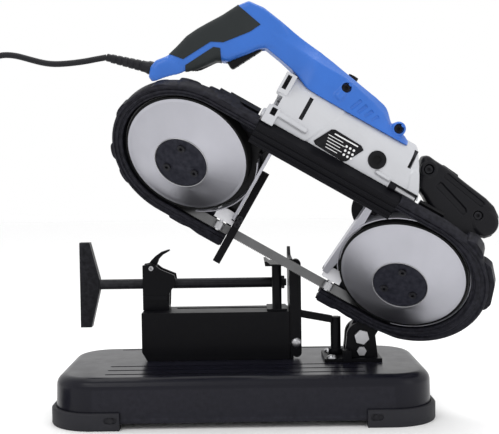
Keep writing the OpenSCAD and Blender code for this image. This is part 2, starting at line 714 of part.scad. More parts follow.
module brush_caps() color(rubber) head_place() for (s = [-1, 1]) difference() {
    along_y(-106, 203, 10.9, s < 0 ? -133 : -62, s < 0 ? -122 : -51);
    along_y(-106, 203, 5, s < 0 ? -140 : -53, s < 0 ? -131.5 : -40);
}

module front_handle() color(rubber) head_place() difference() {
    upright([[-56, 240], [-40, 240], [-22, 239], [9, 234], [38, 230], [52, 226], [63, 218], [70, 205],
        [70, 193], [65, 185], [57, 180], [48, 150], [0, 150], [-12, 180], [-26, 194], [-31.5, 200],
        [-31.5, 226], [-56, 238]], motor_y - 16, motor_y + 16);
    along_x(motor_y, motor_v, motor_r + 0.3, -120, -31.7);
    rim_plane() block([-80, -200, plate_back - 0.3], [110, 100.3, 60]);
    rim_plane() slab(-46.5, plate_back + 1) gear_outline(0.3);
    for (p = handle_screw_spots) {
        along_y(p[0], p[1], 3, -130, -88);
        along_y(p[0], p[1], 6, -130, -104);
    }
    for (v = [0, 7]) translate([-24, -110, 222 - v]) rotate([0, 14, 0]) block([0, 0, 0], [58, 4, 2.5]);
}

// ---- Switch, trigger, dial and strain relief ----
module trigger_place() translate([-313, motor_y, 239]) rotate([0, -62, 0]) children();

module switch_body() color(black) head_place() trigger_place() block([-14, -7.5, 27], [16, 7.5, 42]);

module trigger() color(rubber) head_place() trigger_place() {
    block([-21.5, -6, -1], [21.5, 6, 8.3]);
    block([-8, -5, 8], [10, 5, 20]);
}

dial_r = 6.5;

module speed_dial() color(rubber) head_place()
    translate([-178, motor_y, 268.4]) cylinder(r = dial_r, h = 13.5);

relief_u = -400;
relief_v = 169;

// Seat for the sleeve in the two shells
module strain_core() translate([relief_u, motor_y, relief_v]) rotate([0, -90 - relief_drop, 0])
    translate([0, 0, -1]) cylinder(r = 7.05, h = 20);

relief_len = 60;
relief_drop = 15.7;
reach_r = norm([cord_pts[0][0] - pivot_x, cord_pts[0][2] - pivot_z]);

// The cord's sleeve stops square to the line from the hinge, so that the head swings clear of the cord
module strain_relief() color(rubber) difference() {
    head_place() translate([relief_u, motor_y, relief_v]) rotate([0, -90 - relief_drop, 0]) {
        translate([0, 0, -1]) cylinder(r1 = 7, r2 = 5.2, h = relief_len + 8);
        translate([0, 0, relief_len - 7]) cylinder(r = 6.6, h = 4);
    }
    translate([pivot_x, motor_y, pivot_z]) rotate([0, atan2(pivot_dir[0], pivot_dir[2]), 0])
        block([-60, -30, reach_r - 0.4], [60, 30, reach_r + 60]);
}

// ---- Supply cord ----
function unit(v) = v / norm(v);
function tangent(p, i) = unit(p[min(i + 1, len(p) - 1)] - p[max(i - 1, 0)]);
sides = 8;
pivot_dir = unit([cord_pts[0][0] - pivot_x, 0, cord_pts[0][2] - pivot_z]);
function ring(p, i) = let (t = tangent(p, i), n = unit(cross(t, [0, 1, 0.001])), b = cross(t, n))
    [for (k = [0:sides - 1]) let (q = p[i] + cord_d / 2 * (cos(45 * k) * n + sin(45 * k) * b))
        i > 0 ? q : q - t * (((q - p[0]) * pivot_dir) / (t * pivot_dir))];
tube_points = [for (i = [0:len(cord_pts) - 1]) each ring(cord_pts, i)];
tube_faces = concat(
    [[for (k = [0:sides - 1]) k]],
    [for (i = [0:len(cord_pts) - 2]) for (k = [0:sides - 1])
        let (a = sides * i + k, b = sides * i + (k + 1) % sides)
            each [[a, a + sides, b + sides], [a, b + sides, b]]],
    [[for (k = [sides - 1:-1:0]) sides * (len(cord_pts) - 1) + k]]);

module cord_tube() color(rubber) polyhedron(points = tube_points, faces = tube_faces);

module cord_coil() color(rubber) translate([coil_x, coil_y, 0]) rotate_extrude()
    translate([coil_r - cord_d, 0]) square([2 * cord_d, coil_turns * cord_d]);

module mains_plug() color(rubber) translate([coil_x - 4, coil_y - coil_r, coil_turns * cord_d + 0.1]) {
    block([-34, -10, 0], [0, 10, 16]);
    for (s = [-6.3, 6.3]) block([-51, s - 0.8, 4.8], [-34, s + 0.8, 11.1]);
}

base_pan();
corner_feet();
feet_screws();
vise_bed();
stand_bolts();
screw_bracket();
bracket_pin();
fixed_jaw();
jaw_brace();
stop_post();
hinge_bracket();
hinge_bolt();
cord_tube();
cord_coil();
mains_plug();
release_lever();
movable_jaw();
jaw_keeper();
vise_screw();
t_handle();
screw_end_nut();
head_frame();
hinge_lug();
left_guard();
top_rail();
right_guard();
guide_blocks();
work_stop();
socket_screws();
blade();
motor_housing();
gear_case();
shell_front();
shell_rear();
grip_rubber();
spec_plate();
brush_caps();
front_handle();
switch_body();
stator();
strain_relief();
trigger();
speed_dial();
armature();
lay_gear();
drive_gear();
drive_wheel();
drive_tyre();
drive_hub_plate();
drive_hub_screws();
idler_wheel();
idler_tyre();
idler_hub_plate();
idler_hub_screws();
tension_carriage();
tension_lever();
left_front_roller();
left_rear_roller();
right_front_roller();
right_rear_roller();
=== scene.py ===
"""Horizontal band saw on a bench stand: looks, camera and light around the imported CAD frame.

Pieces of the saw head are drawn in millimetres in the head's own frame (u along the motor, y away from
the operator, v up) or in the wheel plane (u, b, w), and set in place by the matrices HEAD and RIM.
"""
from math import ceil, cos, pi, radians, sin

import bmesh
import bpy
from mathutils import Matrix, Vector


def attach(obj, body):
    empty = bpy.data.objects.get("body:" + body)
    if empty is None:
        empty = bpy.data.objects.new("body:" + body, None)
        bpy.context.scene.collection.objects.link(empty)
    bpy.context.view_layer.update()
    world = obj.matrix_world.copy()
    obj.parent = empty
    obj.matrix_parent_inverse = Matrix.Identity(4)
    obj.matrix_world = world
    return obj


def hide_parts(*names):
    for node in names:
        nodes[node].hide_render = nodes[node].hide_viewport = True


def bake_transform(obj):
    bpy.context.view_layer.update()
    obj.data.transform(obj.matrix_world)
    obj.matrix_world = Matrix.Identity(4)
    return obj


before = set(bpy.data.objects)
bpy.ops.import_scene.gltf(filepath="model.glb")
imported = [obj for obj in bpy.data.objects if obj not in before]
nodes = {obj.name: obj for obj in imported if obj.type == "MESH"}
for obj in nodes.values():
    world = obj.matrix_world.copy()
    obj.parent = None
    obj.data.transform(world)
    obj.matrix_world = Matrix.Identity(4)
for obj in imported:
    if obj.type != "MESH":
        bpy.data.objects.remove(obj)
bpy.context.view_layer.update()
MM = 0.001

# ---------------------------------------------------------------- frames of the head
PIVOT = Vector((158, 0, 95))
PIVOT_IN_HEAD = Vector((4.5, 0, -2.7))
TILT = radians(30)
WHEEL_TILT = radians(37.2)
AXLE_GAP = 313
MOTOR_Y = -92
MOTOR_V = 206

STAND = Matrix.Identity(4)
HEAD = Matrix.Translation(PIVOT) @ Matrix.Rotation(TILT, 4, "Y") @ Matrix.Translation(-PIVOT_IN_HEAD)
RIM = HEAD @ Matrix.Translation((0, -78, 95)) @ Matrix.Rotation(pi / 2 + WHEEL_TILT, 4, "X")
IDLER = RIM @ Matrix.Translation((-AXLE_GAP, 0, 0))
LEFT_U = -234
RIGHT_U = -70

# ---------------------------------------------------------------- camera
LENS = 69.39
EYE = Vector((9.4815, -1290.2392, 308.1669))
YAW, PITCH, ROLL = -0.001, -0.040, 0.0139


def make_camera():
    data = bpy.data.cameras.new("camera")
    data.sensor_fit = "HORIZONTAL"
    data.sensor_width = 36
    data.lens = LENS
    data.clip_start = 0.05
    camera = bpy.data.objects.new("camera", data)
    bpy.context.scene.collection.objects.link(camera)
    turn = Matrix.Rotation(YAW, 3, "Z") @ Matrix.Rotation(PITCH, 3, "X") @ Matrix.Rotation(ROLL, 3, "Y")
    camera.matrix_world = (turn @ Matrix.Rotation(pi / 2, 3, "X")).to_4x4()
    camera.location = EYE * MM
    bpy.context.scene.camera = camera


make_camera()


# ---------------------------------------------------------------- mesh tools
def link(name, bm, place=STAND, smooth=None):
    """A new object from a bmesh in millimetres, set in place and shaded smooth below an angle."""
    bmesh.ops.recalc_face_normals(bm, faces=bm.faces)
    mesh = bpy.data.meshes.new(name)
    bm.to_mesh(mesh)
    bm.free()
    mesh.transform(Matrix.Scale(MM, 4) @ place)
    piece = bpy.data.objects.new(name, mesh)
    bpy.context.scene.collection.objects.link(piece)
    if smooth is not None:
        shade(piece, smooth)
    return piece


def shade(piece, angle):
    """Smooth shading, with edges sharper than the angle kept crisp."""
    mesh = piece.data
    bm = bmesh.new()
    bm.from_mesh(mesh)
    for face in bm.faces:
        face.smooth = True
    for edge in bm.edges:
        edge.smooth = len(edge.link_faces) == 2 and edge.calc_face_angle(0) < radians(angle)
    bm.to_mesh(mesh)
    bm.free()


def add_prism(bm, outline, y0, y1, bevel=0, segments=3):
    """A closed plate with an outline of (x, z) points between two y planes; bevel rounds its two rims."""
    low = [bm.verts.new((x, y0, z)) for x, z in outline]
    high = [bm.verts.new((x, y1, z)) for x, z in outline]
    caps = [bm.faces.new(low), bm.faces.new(high[::-1])]
    count = len(outline)
    for i in range(count):
        j = (i + 1) % count
        bm.faces.new((low[j], low[i], high[i], high[j]))
    if bevel:
        edges = [e for cap in caps for e in cap.edges]
        bmesh.ops.bevel(bm, geom=edges, offset=bevel, segments=segments, profile=0.5, affect="EDGES",
                        clamp_overlap=True)


def add_slab(bm, outline, w0, w1):
    """A closed plate with an outline of (x, y) points between two z planes."""
    low = [bm.verts.new((x, y, w0)) for x, y in outline]
    high = [bm.verts.new((x, y, w1)) for x, y in outline]
    bm.faces.new(low[::-1])
    bm.faces.new(high)
    count = len(outline)
    for i in range(count):
        j = (i + 1) % count
        bm.faces.new((low[i], low[j], high[j], high[i]))


def add_box(bm, low, high):
    outline = [(low[0], low[2]), (high[0], low[2]), (high[0], high[2]), (low[0], high[2])]
    add_prism(bm, outline, low[1], high[1])


def aim(direction):
    """The rotation that turns +Z into a direction."""
    return Vector(direction).to_track_quat("Z", "Y").to_matrix().to_4x4()


def add_lathe(bm, profile, place=STAND, sides=48):
    """A closed body turned about z from (radius, z) points, the first and last of them on the axis or not."""
    rings = []
    for radius, z in profile:
        if radius == 0:
            rings.append([bm.verts.new(place @ Vector((0, 0, z)))])
        else:
            rings.append([bm.verts.new(place @ Vector((radius * cos(2 * pi * k / sides),
                                                       radius * sin(2 * pi * k / sides), z)))
                          for k in range(sides)])
    hollow = profile[0][0] > 0
    pairs = list(zip(rings, rings[1:])) + ([(rings[-1], rings[0])] if hollow else [])
    for one, two in pairs:
        for k in range(sides):
            corners = [one[k % len(one)], one[(k + 1) % len(one)], two[(k + 1) % len(two)], two[k % len(two)]]
            corners = [v for i, v in enumerate(corners) if v not in corners[:i]]
            bm.faces.new(corners)


def add_rod(bm, start, end, radius, sides=32, round_ends=0):
    """A plain or round-ended rod between two points."""
    start, end = Vector(start), Vector(end)
    length = (end - start).length
    r, k = radius, round_ends
    profile = [(0, 0), (r - k, 0), (r - 0.3 * k, 0.3 * k), (r, k), (r, length - k),
               (r - 0.3 * k, length - 0.3 * k), (r - k, length), (0, length)]
    if not k:
        profile = [(0, 0), (r, 0), (r, length), (0, length)]
    add_lathe(bm, profile, Matrix.Translation(start) @ aim(end - start), sides)


def add_loft(bm, sections):
    """A closed skin over a row of sections, each a list of as many points."""
    rows = [[bm.verts.new(p) for p in section] for section in sections]
    for one, two in zip(rows, rows[1:]):
        for k in range(len(one)):
            j = (k + 1) % len(one)
            bm.faces.new((one[k], one[j], two[j], two[k]))
    bm.faces.new(rows[0][::-1])
    bm.faces.new(rows[-1])


def arc(x, y, radius, start, end, steps):
    """Points on an arc, from one angle to another in degrees."""
    return [(x + radius * cos(radians(start + (end - start) * i / steps)),
             y + radius * sin(radians(start + (end - start) * i / steps))) for i in range(steps + 1)]


def body(draw, place=STAND, name="draft"):
    """A closed draft piece from a function that draws into a bmesh."""
    bm = bmesh.new()
    draw(bm)
    return link(name, bm, place)


def plate(outline, y0, y1):
    """A draft plate in the head's frame."""
    return body(lambda bm: add_prism(bm, outline, y0, y1), HEAD)


def block(low, high, place):
    """A draft block."""
    return body(lambda bm: add_box(bm, low, high), place)


def disc(u, v, w0, w1, radius, sides, place):
    """A draft disc across z."""
    return body(lambda bm: add_rod(bm, (u, v, w0), (u, v, w1), radius, sides), place)


def apply_modifiers(piece):
    graph = bpy.context.evaluated_depsgraph_get()
    mesh = bpy.data.meshes.new_from_object(piece.evaluated_get(graph))
    piece.modifiers.clear()
    piece.data = mesh


def combine(piece, other, operation):
    """Joins, cuts or crosses a piece with another, which is used up."""
    step = piece.modifiers.new("combine", "BOOLEAN")
    step.operation = operation
    step.solver = "MANIFOLD"
    step.object = other
    apply_modifiers(piece)
    bpy.data.objects.remove(other)
    return piece


def mould(piece, voxel, rounds, strength=0.5):
    """Melts a draft into one skin with softly rounded edges, as moulded plastic and castings have."""
    remesh = piece.modifiers.new("remesh", "REMESH")
    remesh.mode = "VOXEL"
    remesh.voxel_size = voxel * MM
    remesh.use_smooth_shade = True
    smooth = piece.modifiers.new("smooth", "SMOOTH")
    smooth.factor = strength
    smooth.iterations = rounds
    apply_modifiers(piece)
    for face in piece.data.polygons:
        face.use_smooth = True
    return piece


def grown(piece, amount, name):
    """A copy of a piece with its skin pushed out."""
    mesh = piece.data.copy()
    normals = [v.normal.copy() for v in mesh.vertices]
    for v, n in zip(mesh.vertices, normals):
        v.co += n * (amount * MM)
    copy = bpy.data.objects.new(name, mesh)
    bpy.context.scene.collection.objects.link(copy)
    return copy


# ---------------------------------------------------------------- materials
def linear(r, g, b):
    """A colour given as the eye sees it, 0 to 255, for the shader."""
    parts = (c / 255 for c in (r, g, b))
    return tuple(c / 12.92 if c < 0.04045 else ((c + 0.055) / 1.055) ** 2.4 for c in parts) + (1,)


class Shader:
    """A principled material whose colour, roughness and bump come from noise in the piece's own frame."""

    def __init__(self, name, metallic=0.0, coat=0.0, specular=0.5, anisotropic=0.0):
        self.material = bpy.data.materials.new(name)
        self.material.use_nodes = True
        self.tree = self.material.node_tree
        self.main = self.tree.nodes["Principled BSDF"]
        self.main.inputs["Metallic"].default_value = metallic
        self.main.inputs["Coat Weight"].default_value = coat
        self.main.inputs["Coat Roughness"].default_value = 0.12
        self.main.inputs["Specular IOR Level"].default_value = specular
        self.main.inputs["Anisotropic"].default_value = anisotropic
        self.place = self.new("ShaderNodeTexCoord").outputs["Object"]

    def new(self, kind, **settings):
        node = self.tree.nodes.new(kind)
        for key, value in settings.items():
            setattr(node, key, value)
        return node

    def join(self, source, target):
        self.tree.links.new(source, target)

    def noise(self, size, detail=3, stretch=None):
        """Noise with features of a size in millimetres, drawn out along an axis if asked."""
        source = self.place
        if stretch:
            mapping = self.new("ShaderNodeMapping")
            mapping.inputs["Scale"].default_value = stretch
            self.join(source, mapping.inputs["Vector"])
            source = mapping.outputs["Vector"]
        node = self.new("ShaderNodeTexNoise")
        node.inputs["Scale"].default_value = 1 / (size * MM)
        node.inputs["Detail"].default_value = detail
        self.join(source, node.inputs["Vector"])
        return node.outputs["Fac"]

    def spread(self, source, low, high, start=0.3, end=0.7):
        node = self.new("ShaderNodeMapRange")
        for key, value in (("From Min", start), ("From Max", end), ("To Min", low), ("To Max", high)):
            node.inputs[key].default_value = value
        self.join(source, node.inputs["Value"])
        return node.outputs["Result"]

    def mix(self, amount, one, two):
        node = self.new("ShaderNodeMix", data_type="RGBA")
        self.join(amount, node.inputs["Factor"])
        for value, socket in ((one, node.inputs["A"]), (two, node.inputs["B"])):
            if isinstance(value, tuple):
                socket.default_value = value
            else:
                self.join(value, socket)
        return node.outputs["Result"]

    def edges(self, low, high):
        """How worn an edge is: 0 on flats, 1 on sharp outer edges."""
        geometry = self.new("ShaderNodeNewGeometry")
        return self.spread(geometry.outputs["Pointiness"], 0, 1, low, high)

    def bump(self, source, height, before=None):
        node = self.new("ShaderNodeBump")
        node.inputs["Distance"].default_value = height * MM
        node.inputs["Strength"].default_value = 1
        self.join(source, node.inputs["Height"])
        if before:
            self.join(before, node.inputs["Normal"])
        return node.outputs["Normal"]

    def colour(self, source):
        self.join(source, self.main.inputs["Base Color"])

    def rough(self, source):
        self.join(source, self.main.inputs["Roughness"])

    def normal(self, source):
        self.join(source, self.main.inputs["Normal"])


def shift(colour, factor):
    return tuple(min(1, c * factor) for c in colour[:3]) + (1,)


def coated(name, colour, rough, grain=0.6, height=0.03, metallic=0.0, coat=0.0, worn=None, specular=0.5,
           mottle=0.06, edge=(0.56, 0.72)):
    """Paint, plastic, rubber or cast metal: mottled colour, fine grain, uneven gloss and worn edges."""
    s = Shader(name, metallic, coat, specular)
    base = s.mix(s.spread(s.noise(35), 0, 1), shift(colour, 1 - mottle), shift(colour, 1 + mottle))
    if worn:
        wear = s.new("ShaderNodeMath", operation="MULTIPLY")
        s.join(s.edges(*edge), wear.inputs[0])
        s.join(s.spread(s.noise(6), 0.1, 0.55), wear.inputs[1])
        base = s.mix(wear.outputs[0], base, worn)
    s.colour(base)
    s.rough(s.spread(s.noise(18, 4), rough - 0.025, rough + 0.03))
    s.normal(s.bump(s.noise(grain, 2), height))
    return s.material


def two_tone(name, dark, bright, rough, place):
    """A casting painted dark, with its edges towards the throat left bright."""
    s = Shader(name, 0.2, specular=0.3)
    facing = s.new("ShaderNodeVectorMath", operation="DOT_PRODUCT")
    s.join(s.new("ShaderNodeTexCoord").outputs["Normal"], facing.inputs[0])
    facing.inputs[1].default_value = place.to_3x3() @ Vector((1, 0, 0))
    along = s.new("ShaderNodeMath", operation="ABSOLUTE")
    s.join(facing.outputs["Value"], along.inputs[0])
    grain = s.noise(0.8, 2)
    shade_of_grey = s.mix(s.spread(s.noise(30), 0, 1), shift(bright, 0.95), shift(bright, 1.05))
    s.colour(s.mix(s.spread(along.outputs[0], 0, 1, 0.4, 0.6), dark, shade_of_grey))
    s.rough(s.spread(s.noise(18, 4), rough - 0.04, rough + 0.04))
    s.normal(s.bump(grain, 0.06))
    return s.material


def drawn(name, colour, rough, stretch, metallic=1.0, height=0.01):
    """Ground or drawn steel, with streaks along one direction."""
    s = Shader(name, metallic)
    streaks = s.noise(0.5, 4, stretch)
    s.colour(s.mix(s.spread(streaks, 0, 1), shift(colour, 0.8), shift(colour, 1.12)))
    s.rough(s.spread(s.noise(9, 4), rough - 0.07, rough + 0.08))
    s.normal(s.bump(streaks, height))
    return s.material


def turned(name, colour, rough, place):
    """A lathe-turned face: fine rings round the wheel's axle, with faint smears."""
    s = Shader(name, 1.0, anisotropic=0.5)
    back = place.to_3x3().normalized().transposed()
    mapping = s.new("ShaderNodeMapping")
    mapping.inputs["Rotation"].default_value = back.to_euler()
    mapping.inputs["Location"].default_value = -(back @ (place.translation * MM))
    s.join(s.place, mapping.inputs["Vector"])
    rings = s.new("ShaderNodeTexWave", wave_type="RINGS", rings_direction="Z")
    rings.inputs["Scale"].default_value = 220
    rings.inputs["Distortion"].default_value = 0.6
    rings.inputs["Detail"].default_value = 2
    s.join(mapping.outputs["Vector"], rings.inputs["Vector"])
    s.colour(s.mix(s.spread(s.noise(40, 3), 0, 1), shift(colour, 0.96), shift(colour, 1.04)))
    s.rough(s.spread(s.noise(30, 4), rough - 0.02, rough + 0.03))
    s.normal(s.bump(rings.outputs["Fac"], 0.012))
    return s.material


paint = coated("black_powder_coat", linear(11, 11, 14), 0.4, grain=0.9, height=0.05, coat=0.03, specular=0.06,
               worn=linear(64, 64, 70))
pan_paint = coated("base_gloss_coat", linear(15, 15, 24), 0.3, grain=1.4, height=0.04, coat=0.08,
                   specular=0.14, worn=linear(60, 60, 70))
foot_rubber = coated("foot_rubber", linear(33, 33, 38), 0.6, grain=0.5, height=0.06, specular=0.22,
                     worn=linear(70, 70, 74))
zinc = drawn("zinc_plate", linear(170, 170, 173), 0.34, (1, 1, 3))
black_steel = coated("black_oxide", linear(18, 18, 22), 0.4, grain=0.4, height=0.02, specular=0.12,
                     worn=linear(84, 84, 88))
hub_black = coated("hub_oxide", linear(22, 23, 31), 0.36, grain=0.5, height=0.02, specular=0.07, mottle=0.03,
                   worn=linear(80, 80, 90))
cast = coated("cast_silver", linear(186, 187, 191), 0.42, grain=0.7, height=0.06, metallic=0.2, mottle=0.03,
              worn=linear(226, 226, 228))
cast_black = coated("cast_black", linear(17, 17, 20), 0.5, grain=0.9, height=0.08, specular=0.1,
                    worn=linear(70, 70, 74))
web_metal = coated("machined_web", linear(176, 176, 184), 0.34, grain=0.6, height=0.03, metallic=0.5,
                   mottle=0.05, worn=linear(225, 225, 230))
frame_cast = two_tone("cast_frame", linear(14, 14, 17), linear(172, 173, 182), 0.42, RIM)
guard_plastic = coated("guard_plastic", linear(14, 14, 18), 0.42, grain=0.5, height=0.035, specular=0.09,
                       worn=linear(50, 50, 58))
handle_plastic = coated("handle_plastic", linear(17, 17, 21), 0.36, grain=0.5, height=0.04, specular=0.16,
                        worn=linear(56, 56, 60))
blue = coated("blue_plastic", linear(44, 99, 183), 0.36, grain=0.45, height=0.03, mottle=0.04, specular=0.35,
              worn=linear(84, 136, 214))
soft_grip = coated("soft_grip", linear(35, 39, 40), 0.62, grain=0.5, height=0.09, specular=0.2,
                   worn=linear(62, 64, 64))
trim = coated("black_trim", linear(12, 12, 14), 0.42, grain=0.4, height=0.03, specular=0.12,
              worn=linear(50, 50, 54))
cord_skin = coated("cord_skin", linear(22, 22, 26), 0.45, grain=0.8, height=0.03, specular=0.2,
                   worn=linear(54, 54, 58))
tyre_skin = coated("tyre_rubber", linear(12, 12, 13), 0.6, grain=0.4, height=0.06, specular=0.1,
                   worn=linear(36, 36, 36))
band_steel = drawn("band_steel", linear(104, 104, 105), 0.42, (1, 1, 6))
machined = drawn("machined_steel", linear(150, 150, 152), 0.35, (4, 1, 1))
plate_ink = coated("plate_ink", linear(222, 222, 222), 0.5, grain=0.5, height=0.01, mottle=0.03)
roller_white = coated("guide_cap", linear(206, 206, 210), 0.45, grain=0.5, height=0.02, mottle=0.03)
drive_face = turned("turned_drive", linear(174, 174, 181), 0.43, RIM)
idler_face = turned("turned_idler", linear(174, 174, 181), 0.43, IDLER)

CAD_LOOKS = {
    pan_paint: ["base_pan"],
    paint: ["vise_bed", "screw_bracket", "fixed_jaw", "jaw_brace", "stop_post", "hinge_bracket",
            "movable_jaw", "t_handle", "release_lever", "hinge_lug", "tension_lever", "work_stop"],
    foot_rubber: ["corner_feet"],
    zinc: ["stand_bolts", "bracket_pin", "hinge_bolt", "jaw_keeper", "left_front_roller", "left_rear_roller",
           "right_front_roller", "right_rear_roller", "tension_carriage"],
    black_steel: ["vise_screw", "socket_screws", "drive_hub_screws", "idler_hub_screws", "feet_screws",
                  "screw_end_nut"],
    hub_black: ["drive_hub_plate", "idler_hub_plate"],
    cast: ["motor_housing"],
    cast_black: ["gear_case"],
    frame_cast: ["head_frame"],
    roller_white: ["guide_blocks"],
    drive_face: ["drive_wheel"],
    idler_face: ["idler_wheel"],
    tyre_skin: ["drive_tyre", "idler_tyre"],
    guard_plastic: ["left_guard", "right_guard", "top_rail"],
    handle_plastic: ["front_handle"],
    band_steel: ["blade"],
    blue: ["shell_front", "shell_rear"],
    soft_grip: ["grip_rubber"],
    trim: ["spec_plate", "brush_caps", "switch_body", "trigger", "speed_dial", "mains_plug"],
    cord_skin: ["strain_relief", "cord_tube", "cord_coil"],
    machined: ["stator", "armature", "lay_gear", "drive_gear"],
}


def dress(piece, material):
    piece.data.materials.clear()
    piece.data.materials.append(material)
    return piece


for material, names in CAD_LOOKS.items():
    for name in names:
        dress(nodes[name], material)


def soften(name, width, segments=2, angle=35):
    """Broken edges on a CAD node: its mesh stays as it is, under modifiers."""
    piece = nodes[name]
    weld = piece.modifiers.new("weld", "WELD")
    weld.merge_threshold = 0.00001
    bevel = piece.modifiers.new("bevel", "BEVEL")
    bevel.width = width * MM
    bevel.segments = segments
    bevel.angle_limit = radians(angle)
    bevel.harden_normals = True


for name, width in (("vise_bed", 0.5), ("screw_bracket", 0.7), ("fixed_jaw", 0.8), ("jaw_brace", 0.5),
                    ("stop_post", 0.6), ("hinge_bracket", 0.6), ("movable_jaw", 0.6), ("release_lever", 0.7),
                    ("work_stop", 0.5), ("corner_feet", 0.8), ("guide_blocks", 0.6), ("gear_case", 1.0)):
    soften(name, width)


# ---------------------------------------------------------------- supply cord
CORD_D = 7.5
CORD_ROUTE = [(-0.1635, -0.092, 0.4605), (-0.176, -0.092, 0.4585), (-0.190, -0.092, 0.456),
              (-0.209, -0.092, 0.4538), (-0.228, -0.092, 0.453), (-0.243, -0.092, 0.455),
              (-0.258, -0.092, 0.459), (-0.276, -0.092, 0.464), (-0.292, -0.092, 0.465),
              (-0.306, -0.092, 0.461), (-0.317, -0.092, 0.451), (-0.323, -0.092, 0.435),
              (-0.327, -0.091, 0.410), (-0.330, -0.088, 0.370), (-0.332, -0.082, 0.310),
              (-0.332, -0.074, 0.240), (-0.331, -0.064, 0.170), (-0.329, -0.050, 0.110),
              (-0.3275, -0.0405, 0.072), (-0.3273, -0.037, 0.054), (-0.3273, -0.036, 0.03795),
              (-0.3273, -0.0386, 0.02495), (-0.3273, -0.046, 0.0139), (-0.3273, -0.057, 0.00655),
              (-0.3273, -0.070, 0.00395), (-0.3273, -0.082, 0.00395)]
COIL_X, COIL_Y, COIL_R = -372, -96, 41
COIL_START = 5.6
COIL_STEP = 12
# Degrees of turn in which the cord changes place in the coil, and where it starts to rise to the plug
SHIFT_SPAN = 72
LIFT_START, LIFT_SPAN = 1765, 95
PLUG_Z = 30.6


def ease(t):
    """From 0 to 1 in two equal arcs, which bends a cord least."""
    t = min(1, max(0, t))
    return 2 * t * t if t < 0.5 else 1 - 2 * (1 - t) ** 2


def coil_points():
    """Six turns in two columns and three rows. Each turn changes place a little before the one under it."""
    near, far = COIL_R - CORD_D / 2, COIL_R + CORD_D / 2
    rows = [CORD_D * (i + 0.5) for i in range(3)]
    places = [(far, rows[0]), (near, rows[0]), (near, rows[1]), (far, rows[1]), (far, rows[2]),
              (near, rows[2])]
    last_turn = 5 * 360 + 90 + COIL_START
    points = []
    for i in range(ceil(last_turn / COIL_STEP) + 1):
        turn = min(i * COIL_STEP, last_turn)
        radius, height = places[0]
        for number, (here, goal) in enumerate(zip(places, places[1:])):
            step = ease((turn - (360 - SHIFT_SPAN) * (number + 1)) / SHIFT_SPAN)
            radius += (goal[0] - here[0]) * step
            height += (goal[1] - here[1]) * step
        lift = ease((turn - LIFT_START) / LIFT_SPAN)
        radius += (COIL_R - near) * lift
        height += (PLUG_Z - rows[2]) * lift
        way = radians(COIL_START - turn)
        points.append(Vector((COIL_X + radius * cos(way), COIL_Y + radius * sin(way), height)) * MM)
    return points + [Vector((COIL_X - 6, COIL_Y - COIL_R, PLUG_Z)) * MM]


def smooth_route(points, per_span):
    """Extra points between the given ones, on a smooth curve that passes within a hair of them all."""
    points = [2 * points[0] - points[1]] + points + [2 * points[-1] - points[-2]]
    out = []
    for a, b, c, d in zip(points, points[1:], points[2:], points[3:]):
        for i in range(per_span):
            t = i / per_span
            out.append(0.5 * (2 * b + (c - a) * t + (2 * a - 5 * b + 4 * c - d) * t * t
                              + (3 * b - a - 3 * c + d) * t ** 3))
    out.append(points[-2])
    return out[:1] + [(a + 2 * b + c) / 4 for a, b, c in zip(out, out[1:], out[2:])] + out[-1:]


def add_tube(bm, points, radius, sides=16):
    """A closed round tube along points, without twist."""
    normal = Vector((0, 1, 0))
    rows = []
    for i, p in enumerate(points):
        way = (points[min(i + 1, len(points) - 1)] - points[max(i - 1, 0)]).normalized()
        normal = (normal - way * normal.dot(way)).normalized()
        side = way.cross(normal)
        rows.append([p + (normal * cos(2 * pi * k / sides) + side * sin(2 * pi * k / sides)) * radius
                     for k in range(sides)])
    add_loft(bm, rows)


def make_cord():
    route = smooth_route([Vector(p) for p in CORD_ROUTE], 3)
    points = route + coil_points()
    bm = bmesh.new()
    add_tube(bm, [p / MM for p in points], CORD_D / 2)
    cord = dress(link("supply_cord", bm, smooth=50), cord_skin)
    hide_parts("cord_tube", "cord_coil")
    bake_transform(cord)
    tie = make_tie()


def make_tie():
    """A thin strap round the coil's section."""
    half_wide, half_high, thick, width = CORD_D + 0.8, 1.5 * CORD_D, 0.8, 12
    outline = [(-half_wide, thick), (half_wide, thick), (half_wide, 2 * half_high + 0.6),
               (-half_wide, 2 * half_high + 0.6)]
    inner = [(x * 0.9, z + (thick if z < half_high else -thick)) for x, z in outline]
    bm = bmesh.new()
    outer_loop = [[bm.verts.new((x, y, z)) for x, z in outline] for y in (-width / 2, width / 2)]
    inner_loop = [[bm.verts.new((x, y, z)) for x, z in inner] for y in (-width / 2, width / 2)]
    for k in range(4):
        j = (k + 1) % 4
        bm.faces.new((outer_loop[0][k], outer_loop[0][j], outer_loop[1][j], outer_loop[1][k]))
        bm.faces.new((inner_loop[0][k], inner_loop[1][k], inner_loop[1][j], inner_loop[0][j]))
        for loop in (0, 1):
            bm.faces.new((outer_loop[loop][k], inner_loop[loop][k], inner_loop[loop][j], outer_loop[loop][j]))
    bmesh.ops.bevel(bm, geom=bm.edges[:], offset=0.3, segments=2, affect="EDGES", clamp_overlap=True)
    place = (Matrix.Translation((COIL_X, COIL_Y, 0)) @ Matrix.Rotation(radians(60), 4, "Z")
             @ Matrix.Translation((COIL_R, 0, 0)))
    tie = dress(link("cord_tie", bm, place, smooth=40), trim)
    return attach(tie, "stand")


make_cord()
soften("mains_plug", 1.5, 3)


def replace_node(piece, material, body_name, slot, *names):
    """A new piece rides on a body, takes the given material and stands for CAD nodes, which it hides; the
    slot is not used.
    """
    dress(piece, material)
    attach(piece, body_name)
    if names:
        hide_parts(*names)
    return piece


def weld_bevel(piece, width, segments=2, angle=35):
    bevel = piece.modifiers.new("bevel", "BEVEL")
    bevel.width = width * MM
    bevel.segments = segments
    bevel.angle_limit = radians(angle)
    return piece


